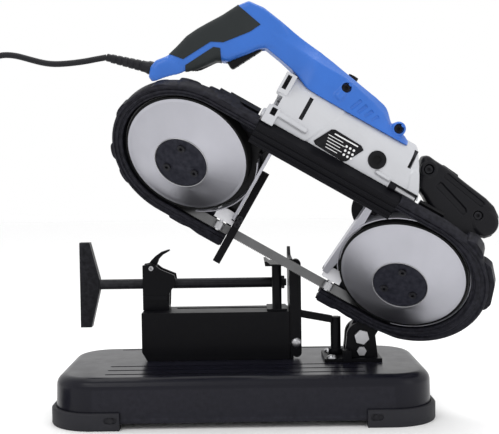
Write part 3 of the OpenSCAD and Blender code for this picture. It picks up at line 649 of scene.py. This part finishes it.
# ---------------------------------------------------------------- blue shell, grip panels and trigger
GRIP_HALF = 17
TRIGGER = HEAD @ Matrix.Translation((-313, MOTOR_Y, 239)) @ Matrix.Rotation(radians(-62), 4, "Y")
GRIP_OUTLINE = [(-344, 288), (-336, 298), (-316, 300), (-290, 296), (-268, 285), (-268, 257), (-280, 259),
                (-290, 257), (-297, 252), (-306, 240), (-318, 226), (-324, 217.5), (-333, 219), (-347, 199),
                (-357, 185), (-363, 176), (-368, 168), (-396, 160), (-401, 168), (-400, 176), (-389, 194),
                (-385, 207), (-381, 223), (-374, 237), (-366, 250), (-355, 267)]
COLLAR_OUTLINE = [(-402, 169), (-400, 179), (-391, 190), (-376, 193.5), (-366, 190), (-359, 180), (-360, 168),
                  (-368, 155), (-385, 150), (-398, 157)]
# Along the motor: u, then the heights of hem, crease and top, then the half widths there
SHELL_SECTIONS = [(-318, 264, 281, 299, 14, 16, 10), (-290, 258, 278, 296, 15, 17.5, 11),
                  (-262, 253, 275, 290.5, 16, 20, 12), (-240, 247, 273, 287.5, 21, 24, 12),
                  (-222, 238, 271.5, 285, 29, 27, 13), (-183, 236.5, 271, 278, 30.5, 26, 15),
                  (-141, 236.5, 262, 271, 30.5, 25, 14), (-124, 236.5, 256, 266, 30.5, 24, 13),
                  (-107, 236.5, 246, 250, 30.5, 24, 16), (-88, 236.5, 243, 247, 30, 22, 16),
                  (-81, 237, 241, 243.5, 28, 20, 15)]
OUTER_PANEL = [(-371, 196), (-352, 231), (-338, 238), (-316, 265), (-309, 279), (-342, 285.5), (-350, 291),
               (-385, 262), (-402, 225), (-402, 196), (-389, 193.5)]
INNER_PANEL = [(-365, 191), (-346, 227), (-338, 230), (-331, 219.5), (-326, 212), (-345, 184), (-356, 173),
               (-359.5, 181.5)]
SHELL_BOLTS = [(-180, 262), (-100, 250)]


def eased_sections(sections, step):
    """Sections a step apart, eased along Catmull-Rom curves through the given ones."""
    rows = []
    for i in range(len(sections) - 1):
        near = [sections[min(max(i + k, 0), len(sections) - 1)] for k in (-1, 0, 1, 2)]
        count = ceil((sections[i + 1][0] - sections[i][0]) / step)
        for k in range(count):
            t = k / count
            weights = (-t / 2 + t * t - t ** 3 / 2, 1 - 2.5 * t * t + 1.5 * t ** 3,
                       t / 2 + 2 * t * t - 1.5 * t ** 3, -t * t / 2 + t ** 3 / 2)
            row = [sum(w * section[n] for w, section in zip(weights, near)) for n in range(len(sections[i]))]
            row[0] = sections[i][0] + (sections[i + 1][0] - sections[i][0]) * t
            rows.append(row)
    return rows + [sections[-1]]


def draw_shell(bm):
    rows = []
    for u, hem, crease, top, hem_half, crease_half, top_half in eased_sections(SHELL_SECTIONS, 4):
        side = [(hem_half, hem), (crease_half, crease), (top_half, top)]
        rows.append([(u, MOTOR_Y - y, v) for y, v in side] + [(u, MOTOR_Y + y, v) for y, v in side[::-1]])
    add_loft(bm, rows)


def draw_shell_bosses(bm):
    """The two bolt bosses, the first with a ridge down to the hem."""
    for side in (-1, 1):
        for u, v in SHELL_BOLTS:
            add_rod(bm, (u, MOTOR_Y, v), (u, MOTOR_Y + side * 28, v), 9, 24, 3)
        add_rod(bm, (-180, MOTOR_Y + side * 22, 262), (-184, MOTOR_Y + side * 27, 243), 7.5, 24, 4)


def rounded_edges(piece, width, segments=4, angle=40):
    weld_bevel(piece, width, segments, angle)
    piece.modifiers["bevel"].use_clamp_overlap = False
    apply_modifiers(piece)
    return piece


def make_shell():
    shell = body(draw_shell, HEAD)
    grip = rounded_edges(plate(GRIP_OUTLINE, MOTOR_Y - GRIP_HALF, MOTOR_Y + GRIP_HALF), 6.5, 4, 60)
    collar = rounded_edges(plate(COLLAR_OUTLINE, MOTOR_Y - 20, MOTOR_Y + 20), 8, 4, 60)
    for other in (grip, collar, body(draw_shell_bosses, HEAD)):
        combine(shell, other, "UNION")
    combine(shell, disc(0, 0, -60, 20, 101, 96, IDLER), "DIFFERENCE")
    mould(shell, 1.15, 7)
    for name, outline in (("grip_panel_outer", OUTER_PANEL), ("grip_panel_inner", INNER_PANEL)):
        panel = combine(grown(shell, 0.9, name), plate(outline, MOTOR_Y - 40, MOTOR_Y + 40), "INTERSECT")
        shade(panel, 40)
        replace_node(panel, soft_grip, "head", "grip_rubber", "grip_rubber")

    def draw_cuts(bm):
        for u, v in SHELL_BOLTS:
            for side in (-1, 1):
                add_rod(bm, (u, MOTOR_Y + side * 18, v), (u, MOTOR_Y + side * 50, v), 6.3, 32)
                add_rod(bm, (u + 2, MOTOR_Y + side * 29.6, v + 4), (u + 5, MOTOR_Y + side * 27, v + 13),
                        3, 16, 2)
        for k in range(4):
            for side in (-1, 1):
                u = -160 + 9.5 * k
                top = (u + 3, MOTOR_Y + side * (28 - 0.2 * k), 258 - 2.2 * k)
                add_rod(bm, (u - 3, MOTOR_Y + side * 31.2, 242), top, 2.8, 20, 1)

    cuts = body(draw_cuts, HEAD)
    combine(cuts, block((-22.3, -7, -16), (26.6, 7, 15.5), TRIGGER), "UNION")
    combine(cuts, block((-450, MOTOR_Y - 0.25, 100), (0, MOTOR_Y + 0.25, 400), HEAD), "UNION")
    combine(shell, cuts, "DIFFERENCE")
    shell.name = "blue_shell"
    shade(shell, 40)
    replace_node(shell, blue, "head", "blue_plastic", "shell_front", "shell_rear")


def make_trigger():
    face = [(-21.3, 8.2), (-21.3, -7)] + arc(-17.8, -7.5, 3.5, 180, 270, 3)
    for x in (-12, -4, 4, 12):
        face += [(x - 1.4, -11), (x, -9.9), (x + 1.4, -11)]
    face += arc(21, -7, 4, 270, 345, 3) + [(25.5, 1), (25.5, 8.2)]

    def draw(bm):
        add_prism(bm, face[::-1], -5.9, 5.9, 1.1, 2)
        add_box(bm, (-8, -5, 8), (10, 5, 19.8))

    trigger = link("trigger_button", collect(draw), TRIGGER, 40)
    replace_node(trigger, trim, "trigger", "black_plastic", "trigger")


def collect(draw):
    bm = bmesh.new()
    draw(bm)
    return bm


# ---------------------------------------------------------------- silver motor housing
HOUSE_L, HOUSE_R = -248, -34
MOTOR_R = 40


def barrel_section(radius):
    """The housing seen along the motor: a barrel with a lower front corner and a foot behind the rail."""
    corner = radius - MOTOR_R
    return ([(MOTOR_Y + y, MOTOR_V + v) for y, v in arc(0, 0, radius, 196, -40, 32)]
            + [(MOTOR_Y + 24, 170), (MOTOR_Y - 20, 160), (-126 - corner, 180 - corner)])


def draw_barrel(bm, radius, left, right):
    section = barrel_section(radius)
    add_loft(bm, [[(u, y, v) for y, v in section] for u in (left, right)])


def front_y(v):
    """How far forward the barrel's skin stands at a height."""
    if v > 194.6:
        return MOTOR_Y - (MOTOR_R ** 2 - (v - MOTOR_V) ** 2) ** 0.5
    return -130.3 + (194.6 - v) * 0.297


def make_housing():
    housing = body(lambda bm: draw_barrel(bm, MOTOR_R, HOUSE_L, HOUSE_R), HEAD)
    seam = [(-250, 250), (-168, 250), (-168, 231), (-174, 219), (-194, 177), (-198, 150), (-250, 150)]
    raised = body(lambda bm: draw_barrel(bm, MOTOR_R + 1.2, HOUSE_L - 0.6, HOUSE_R), HEAD)
    combine(raised, plate(seam, -150, -20), "INTERSECT")
    combine(housing, raised, "UNION")
    flange = body(lambda bm: draw_barrel(bm, MOTOR_R + 1.6, -62, HOUSE_R), HEAD)
    combine(flange, plate([(-64, 214), (-50, 170), (-30, 150), (-30, 214)], -150, -20), "INTERSECT")
    combine(housing, flange, "UNION")

    def draw_details(bm):
        add_rod(bm, (-244, -131.6, 193.5), (-196, -131.6, 191.5), 3.8, 20, 2)
        add_rod(bm, (-101, -129.6, 190.5), (-80, -129.6, 189.5), 2.6, 20, 2)
        add_rod(bm, (-80, -122, 184), (-42, -122, 181), 7.6, 24, 2)
        add_rod(bm, (-256, -118, 184), (-246, -118, 184), 9, 28, 2)
        add_box(bm, (-252, -134.5, 216), (-238, -100, 243))
        add_box(bm, (-252, -135.5, 176), (-236, -110, 199))

    combine(housing, body(draw_details, HEAD), "UNION")
    end_cut = [(-72, 250), (-61, 228), (-44, 196), (-31, 168), (-20, 168), (-20, 260)]
    combine(housing, plate(end_cut, -150, -20), "DIFFERENCE")
    combine(housing, block((-400, -60, -34.4), (100, 97.4, 60), RIM), "DIFFERENCE")
    combine(housing, block((-58.3, -60, -34.4), (100, 100.4, 60), RIM), "DIFFERENCE")
    mould(housing, 1.05, 3)

    def draw_cuts(bm):
        add_box(bm, (-213, -140, 200), (-208, -122, 230))
        add_box(bm, (-249, -150, 222), (-243.5, -124, 240))
        add_box(bm, (-246.5, -150, 188), (-239.5, -125, 197.5))
        add_box(bm, (-262, -150, 200.5), (-242, -80, 213.5))
        add_box(bm, (-70, -140, 213), (-65.5, -118, 237))
        add_rod(bm, (-106, -140, 203), (-106, -122.5, 203), 11.3, 48)
        add_box(bm, (-79, -140, 179), (-41, -124, 189.5))

    combine(housing, body(draw_cuts, HEAD), "DIFFERENCE")
    housing.name = "motor_barrel"
    shade(housing, 38)
    replace_node(housing, cast, "head", "cast_aluminium", "motor_housing")


# Black screws and a bolt head in the housing's recesses, with black boxes and a black skin lining the floors
# of the trough, the recesses and the vent slot as painted shade.
def make_housing_bolts_and_painted_shade():
    def draw_bolts_and_painted_shade(bm):
        add_rod(bm, (-78.6, -126, 184.4), (-69.5, -126, 184.4), 5, 32, 0.5)
        # Painted shade: the boxes and the skin below line the floors of the trough, the recesses and the vent
        # slot in black; the rods are the real bolt head and screws.
        add_box(bm, (-79.2, -124.6, 178.8), (-40.8, -121, 189.7))
        add_rod(bm, (-246.2, -127, 231), (-246.2, -121, 231), 2.7, 28, 0.4)
        add_rod(bm, (-243, -128.5, 192.7), (-243, -122, 192.7), 3.6, 28, 0.5)
        add_box(bm, (-249.2, -124.5, 221.8), (-243.3, -120, 240.2))
        add_box(bm, (-246.7, -125.6, 187.8), (-239.3, -120, 197.7))
        skin = [(front_y(v) + 1.4, v) for v in range(200, 231, 5)] + [(-110, 230), (-110, 200)]
        add_loft(bm, [[(u, y, v) for y, v in skin] for u in (-213.2, -207.8)])
        add_box(bm, (-70.2, -119, 212.8), (-65.3, -112, 237.2))

    replace_node(link("housing_screws_and_painted_shade", collect(draw_bolts_and_painted_shade), HEAD, 35), black_steel, "head", "black_steel")
    stud = collect(lambda bm: add_rod(bm, (-69.6, -126.5, 184), (-43, -126.5, 183.2), 3.4, 24, 0.4))
    replace_node(link("lower_stud", stud, HEAD, 35), zinc, "head", "zinc_steel")


def make_plate_lines():
    """Plain rules and dots where a rating plate has its print."""
    rules = [(-166, -134, 204.6, 1.5)]
    rules += [(-172 + k, -152 + (k % 2) * 4, 200.6 - 3.6 * k, 0.8) for k in range(5)]

    def draw(bm):
        for left, right, v, thick in rules:
            add_prism(bm, [(left, v), (right, v), (right, v + thick), (left, v + thick)],
                      front_y(v) - 1.4, front_y(v) - 0.6)
        for row in range(3):
            for k in range(3):
                u, v = -146 + 5 * k + row, 199 - 5 * row
                add_rod(bm, (u, front_y(v) - 0.6, v), (u, front_y(v) - 1.4, v), 1.5, 16)

    replace_node(link("plate_rules", collect(draw), HEAD, 35), plate_ink, "head", "black_plastic")


# ---------------------------------------------------------------- guards and rail
GUARD_PROFILE = [(66, -20), (86, -20), (88, -19), (93, -12.4), (99.2, -11.6), (100, -10.6), (100, 1.2),
                 (98.8, 3.6), (96.4, 4), (95.4, 2.4), (93.8, 2.4), (93.2, 3.8), (91.2, 3.8), (90.4, 2),
                 (88.8, 1.6), (87.8, 2.8), (86.2, 2.8), (85.4, 0.8), (87.4, -0.8), (90.4, -1.6),
                 (90.8, -10.2), (85, -17.5), (66, -17.5)]
RAIL_PROFILE = [(97, -20), (97, 2.8), (95.4, 4), (90.4, 4), (89.6, 2.6), (88, 2.6), (87.4, 4), (84, 4),
                (83.2, 1.6), (79, 1.6), (78.2, 4), (75.4, 4), (74.6, 2.6), (72.8, 2.6), (72, 4), (68.4, 4),
                (67, 2.4), (67, -20), (69.4, -20), (69.4, -0.4), (91, -0.4), (91, -20)]


def guard_path(side, top_length, low_length):
    """Stations along a guard: a centre point and the outward direction there, from top end to lower end."""
    path = [((-side * top_length, 0), (0, 1))]
    for i in range(49):
        angle = pi / 2 - side * pi * i / 48
        path.append(((0, 0), (cos(angle), sin(angle))))
    return path + [((-side * low_length, 0), (0, -1))]


def rounded_outline(corners, radius, steps=4):
    """An outline whose corners are rounded by quadratic curves."""
    points = []
    for before, corner, after in zip(corners[-1:] + corners[:-1], corners, corners[1:] + corners[:1]):
        corner = Vector(corner)
        ways = [Vector(p) - corner for p in (before, after)]
        near, far = (corner + way.normalized() * min(radius, way.length * 0.45) for way in ways)
        for k in range(steps + 1):
            t = k / steps
            points.append(tuple(near * (1 - t) ** 2 + corner * 2 * t * (1 - t) + far * t * t))
    return points


def make_guard(name, place, side, top_length, low_length, rib_angles, shoulders, bulge, room_u, node):
    def draw(bm):
        rows = []
        for (x, y), (nx, ny) in guard_path(side, top_length, low_length):
            out = bulge * max(0, nx) * ease((nx - 0.2) / 0.25)
            row = [(r + out * min(1, max(0, (r - 91) / 5)), w) for r, w in GUARD_PROFILE]
            rows.append([(x + nx * r, y + ny * r, w) for r, w in row])
        add_loft(bm, rows)

    guard = body(draw, place)

    def draw_ribs(bm):
        for angle, reach in rib_angles:
            turn = Matrix.Rotation(radians(angle if side > 0 else 180 - angle), 3, "Z")
            shape = ((97, -14, 0), (99 + reach, -9, 0), (100 + reach, 0, 0), (99 + reach, 9, 0), (97, 14, 0))
            foot = [turn @ Vector(p) for p in shape]
            add_slab(bm, rounded_outline([(p.x, p.y) for p in foot], 4), -10.5, 2.4)
        for outline, w0, w1 in shoulders:
            add_slab(bm, rounded_outline(outline, 3), w0, w1)
        end, start = -side * low_length, -side * (low_length - 26)
        add_slab(bm, [(end, -88.8), (start, -88.8), (start, -99.9), (end, -99.9)], -19.9, 3.9)

    combine(guard, body(draw_ribs, place), "UNION")
    combine(guard, disc(room_u, -13.775, 20, 80, 7.3, 32, HEAD), "DIFFERENCE")
    guard.name = name
    weld_bevel(guard, 0.5, 2, 30)
    shade(guard, 35)
    replace_node(guard, guard_plastic, "head", "guard_plastic", node)


def make_rail():
    def draw(bm):
        add_loft(bm, [[(u, b, w) for b, w in RAIL_PROFILE] for u in (-252.8, -58.2)])

    rail = body(draw, RIM)
    for centre in (-AXLE_GAP, 6 - AXLE_GAP, 0):
        combine(rail, disc(centre, 0, -30, 20, 84, 96, RIM), "DIFFERENCE")
    rail.name = "guard_rail"
    weld_bevel(rail, 0.4, 2, 30)
    shade(rail, 35)
    replace_node(rail, guard_plastic, "head", "guard_plastic", "top_rail")


# ---------------------------------------------------------------- front handle
HANDLE_OUTLINE = [(-57, 240), (-48, 241), (-40, 240), (-22, 239), (9, 234), (38, 230), (52, 226), (63, 218),
                  (69, 206), (67, 192), (61, 185.5), (52, 183), (46, 156), (2, 156), (-12, 182),
                  (-30, 194), (-42, 199), (-52, 222)]


def make_handle():
    handle = rounded_edges(plate(HANDLE_OUTLINE, MOTOR_Y - 15.8, MOTOR_Y + 15.8), 7, 4, 60)

    def draw_bosses(bm):
        for side in (-1, 1):
            add_rod(bm, (-42, MOTOR_Y, 226), (-42, MOTOR_Y + side * 17, 226), 10.5, 32, 1.5)
            add_rod(bm, (39, MOTOR_Y, 206), (39, MOTOR_Y + side * 16.5, 206), 10, 32, 1.5)
        add_rod(bm, (51, MOTOR_Y - 17.5, 202.5), (51, MOTOR_Y + 17.5, 202.5), 17.5, 40, 5)
        add_prism(bm, [(-30, 230), (-28, 240.5), (-6, 238.5), (-4, 230)], MOTOR_Y - 9, MOTOR_Y + 9)

    combine(handle, body(draw_bosses, HEAD), "UNION")
    grooves = [[(-22, 227), (36, 217.5), (40, 220), (38, 223.5), (-20, 233.5)],
               [(-24, 212), (22, 198), (25, 202), (22, 206), (-22, 220)]]

    def draw_cuts(bm):
        for outline in grooves:
            for y0, y1 in ((-130, MOTOR_Y - 13.2), (MOTOR_Y + 13.2, -50)):
                add_prism(bm, outline, y0, y1)
        for u, v in ((-42, 226), (39, 206)):
            add_rod(bm, (u, -130, v), (u, -104, v), 6.2, 32)

    combine(handle, body(draw_cuts, HEAD), "DIFFERENCE")
    combine(handle, block((-80, -200, -26.3), (110, 100.3, 60), RIM), "DIFFERENCE")
    mould(handle, 1.0, 3)
    handle.name = "front_grip"
    replace_node(handle, handle_plastic, "head", "guard_plastic", "front_handle")


# ---------------------------------------------------------------- cord sleeve
def make_sleeve():
    """The rubber sleeve at the grip's end, ribbed and tapered down to the cord."""
    start = HEAD @ Vector((-399, MOTOR_Y, 169.3))
    end = Vector(CORD_ROUTE[0]) / MM
    reach = (end - start).length
    profile = [(0, -3), (8.4, -3), (8.4, 6), (7.4, 8)]
    for k in range(6):
        radius, z = 7 - 0.3 * k, 10 + (reach - 14) * k / 6
        profile += [(radius, z), (radius, z + 5), (radius - 0.8, z + 5.6), (radius - 0.8, z + 7.2)]
    profile += [(4.9, reach - 1), (4.4, reach - 0.3), (0, reach - 0.3)]
    place = Matrix.Translation(start) @ aim(end - start)
    sleeve = link("cord_sleeve", collect(lambda bm: add_lathe(bm, profile, STAND, 40)), place, 35)
    replace_node(sleeve, cord_skin, "head", "cord_rubber", "strain_relief")


# ---------------------------------------------------------------- frame edges, hub rings and blade
HUB_R = 33.9


def add_wall(bm, centre, inner, outer, start, end, w0, w1):
    """A curved wall standing on the frame round a wheel."""
    steps = max(4, ceil(abs(end - start) / 3))
    ring = arc(centre, 0, outer, start, end, steps) + arc(centre, 0, inner, end, start, steps)
    add_slab(bm, ring, w0, w1)


def make_frame_walls():
    """Bright machined edges of the casting, down each leg and round the wheels, and a few dark bosses."""
    def draw(bm):
        add_wall(bm, -AXLE_GAP, 90.2, 91.6, -62, 24, -20.6, -9)
        add_slab(bm, [(-223.4, -60), (-219.6, -60), (-219.6, 64), (-223.4, 64)], -20.6, -6.6)
        add_wall(bm, 0, 84.2, 85.8, 106, 214, -20.6, -5)
        add_wall(bm, 0, 84.2, 85.2, -72, 48, -17.4, -3)
        add_slab(bm, [(-87.1, -62), (-79, -62), (-77, -40), (-77, 40), (-79, 66), (-87.1, 66)], -20.4, -6.7)
        add_slab(bm, [(-76, 61), (-20, 61), (-20, 62.6), (-76, 62.6)], -20.6, -8)
        add_slab(bm, [(-241, 60), (-224, 60), (-224, 61.8), (-241, 61.8)], -20.6, -8)

    walls = link("frame_edges", collect(draw), RIM)
    weld_bevel(walls, 0.3, 2, 50)
    shade(walls, 35)
    replace_node(walls, web_metal, "head", "cast_aluminium")

    def draw_ribs(bm):
        for u, b in ((-232, 46), (-230, 54), (-239, 57), (-73, 52), (-67, 57)):
            add_rod(bm, (u, b, -20.6), (u, b, -14.5), 2.6, 20, 0.8)
        add_slab(bm, [(-232, 40), (-226, 26), (-224, 26), (-230, 41)], -20.6, -13)

    ribs = link("frame_bosses", collect(draw_ribs), RIM, 35)
    replace_node(ribs, black_steel, "head", "cast_aluminium")


def make_back_ribs():
    """Stiffening ribs and a hub boss on the back of the casting, behind the left wheel."""
    def draw(bm):
        for angle in range(125, 241, 23):
            turn = Matrix.Rotation(radians(angle), 3, "Z")
            rib = [turn @ Vector(p) for p in ((30, -1.6, 0), (66, -1.2, 0), (66, 1.2, 0), (30, 1.6, 0))]
            add_slab(bm, [(p.x, p.y) for p in rib], -29.5, -25.9)
        ring = arc(0, 0, 31, 118, 247, 24) + arc(0, 0, 27.5, 247, 118, 24)
        add_slab(bm, ring, -30.5, -25.9)
        ring = arc(0, 0, 68.5, 118, 247, 40) + arc(0, 0, 65.5, 247, 118, 40)
        add_slab(bm, ring, -29.5, -25.9)

    ribs = body(draw, IDLER, "frame_ribs")
    weld_bevel(ribs, 0.5, 2, 50)
    shade(ribs, 35)
    replace_node(ribs, cast_black, "head", "cast_aluminium")


def make_hub_rings():
    """The thin turned lip that each wheel's cover plate sits in."""
    lip = [(HUB_R + 0.1, 16.8), (HUB_R + 1.5, 16.8), (HUB_R + 1.4, 18.6), (HUB_R + 0.9, 19.1),
           (HUB_R + 0.3, 18.9)]
    for name, place, wheel in (("drive_hub_ring", RIM, "drive"), ("idler_hub_ring", IDLER, "idler")):
        ring = link(name, collect(lambda bm: add_lathe(bm, lip, STAND, 128)), place, 35)
        replace_node(ring, zinc, wheel, "wheel_metal")


BLADE_R, BLADE_MID, BLADE_W, BLADE_T = 82.4, -9, 12.7, 0.65
TOOTH, TOOTH_DEEP = 2.4, 1.1


def run_twist(u):
    """How far the band has turned towards upright at a place along the cutting run."""
    amount = (u + AXLE_GAP) / 66 if u < (LEFT_U + RIGHT_U) / 2 else -u / 56
    return radians(90) - WHEEL_TILT if amount > 1 else (radians(90) - WHEEL_TILT) * ease(amount)


def blade_stations():
    """Places round the loop, each half a tooth on: a point, the outward direction and the twist."""
    half = TOOTH / 2
    turn = ceil(pi * BLADE_R / half)
    run = 2 * ceil(AXLE_GAP / TOOTH)
    turn += turn % 2
    places = []
    for i in range(turn):
        a = pi / 2 + pi * i / turn
        places.append((-AXLE_GAP + BLADE_R * cos(a), BLADE_R * sin(a), cos(a), sin(a), 0))
    for i in range(run):
        u = -AXLE_GAP + AXLE_GAP * i / run
        places.append((u, -BLADE_R, 0, -1, run_twist(u)))
    for i in range(turn):
        a = -pi / 2 + pi * i / turn
        places.append((BLADE_R * cos(a), BLADE_R * sin(a), cos(a), sin(a), 0))
    for i in range(run):
        places.append((-AXLE_GAP * i / run, BLADE_R, 0, 1, 0))
    return places


def make_blade():
    bm = bmesh.new()
    rows = []
    for i, (x, y, nx, ny, twist) in enumerate(blade_stations()):
        tip = BLADE_W / 2 - (TOOTH_DEEP if i % 2 else 0)
        row = []
        back = -BLADE_W / 2
        for n, w in ((-1, back), (1, back), (1, tip - 1.3), (1, tip), (-1, tip), (-1, tip - 1.3)):
            n *= BLADE_T / 2
            row.append(bm.verts.new((x + n * nx * cos(twist), y + n * ny * cos(twist) - w * sin(twist),
                                     BLADE_MID - n * sin(twist) + w * cos(twist))))
        rows.append(row)
    for one, two in zip(rows, rows[1:] + rows[:1]):
        for k in range(6):
            bm.faces.new((one[k], one[(k + 1) % 6], two[(k + 1) % 6], two[k]))
    replace_node(link("toothed_band", bm, RIM, 40), band_steel, "head", "blade_steel", "blade")


make_shell()
make_trigger()
make_housing()
make_housing_bolts_and_painted_shade()
make_plate_lines()
LEFT_SHOULDERS = [([(-50, 79), (-48, 88), (-40, 91.5), (-28, 94.5), (-22, 94), (-20, 86)], -17, 1),
                  ([(-14, 88), (-12, 96.5), (4, 98), (8, 100.5), (22, 100.5), (30, 96), (36, 94.5), (38, 88)],
                   -19.9, 1),
                  ([(44, 88), (46, 93.5), (56, 92), (58, 86)], -19.9, -2),
                  ([(14, -97), (16, -102), (34, -102.5), (46, -100.5), (60, -103), (92, -103), (93, -97)],
                   -10, 3)]
LUG_REACH = ((51, 98), (49, 106), (44, 112), (30, 114), (14, 114.5), (9, 111.5), (6, 106), (6, 98))
OUTER_LUG = [(r * cos(radians(a)), r * sin(radians(a))) for a, r in LUG_REACH]
RIGHT_SHOULDERS = [([(34, 88), (36, 97), (47, 99.5), (60, 92), (66, 84), (50, 80)], -18, 1),
                   (OUTER_LUG, -13, -1),
                   ([(-74, -97), (-73.5, -103), (-50, -103), (-44, -100.5), (-28, -102.5), (-10, -102),
                     (-8, -97)], -10, 3)]
make_guard("left_wheel_guard", IDLER, -1, 60, 93.5, ((48, 1.4), (8, 2), (-30, 3), (-52, 2)),
           LEFT_SHOULDERS, 0, LEFT_U, "left_guard")
make_guard("right_wheel_guard", RIM, 1, 58, 76, ((-50, 2.2),), RIGHT_SHOULDERS, 8.4, RIGHT_U, "right_guard")
make_rail()
make_handle()
make_frame_walls()
make_back_ribs()
make_hub_rings()
make_blade()
make_sleeve()


# ---------------------------------------------------------------- floor, light and finish
def make_floor():
    bm = bmesh.new()
    half = 6000
    corners = ((-half, -half, 0), (half, -half, 0), (half, half, 0), (-half, half, 0))
    bm.faces.new([bm.verts.new(p) for p in corners])
    white = coated("floor_white", (0.98, 0.98, 0.98, 1), 0.7, mottle=0.01, height=0.0)
    dress(link("floor", bm), white)


def make_light(name, size, place, target, power):
    data = bpy.data.lights.new(name, "AREA")
    data.shape = "RECTANGLE"
    data.size, data.size_y = size
    data.energy = power
    light = bpy.data.objects.new(name, data)
    bpy.context.scene.collection.objects.link(light)
    light.location = place
    light.rotation_euler = (Vector(place) - Vector(target)).to_track_quat("Z", "Y").to_euler()


def make_lights():
    world = bpy.data.worlds.new("studio")
    bpy.context.scene.world = world
    world.use_nodes = True
    background = world.node_tree.nodes["Background"]
    background.inputs["Color"].default_value = (1, 1, 1, 1)
    background.inputs["Strength"].default_value = 1.0
    middle = (0, 0, 0.25)
    make_light("key", (1.4, 1.0), (-0.9, -1.6, 1.9), middle, 12)
    make_light("fill", (0.8, 1.4), (1.7, -1.2, 0.8), middle, 3)
    make_light("top", (1.6, 0.6), (0.1, 0.3, 1.9), middle, 11)


make_floor()
make_lights()
bpy.context.scene.view_settings.view_transform = "Standard"
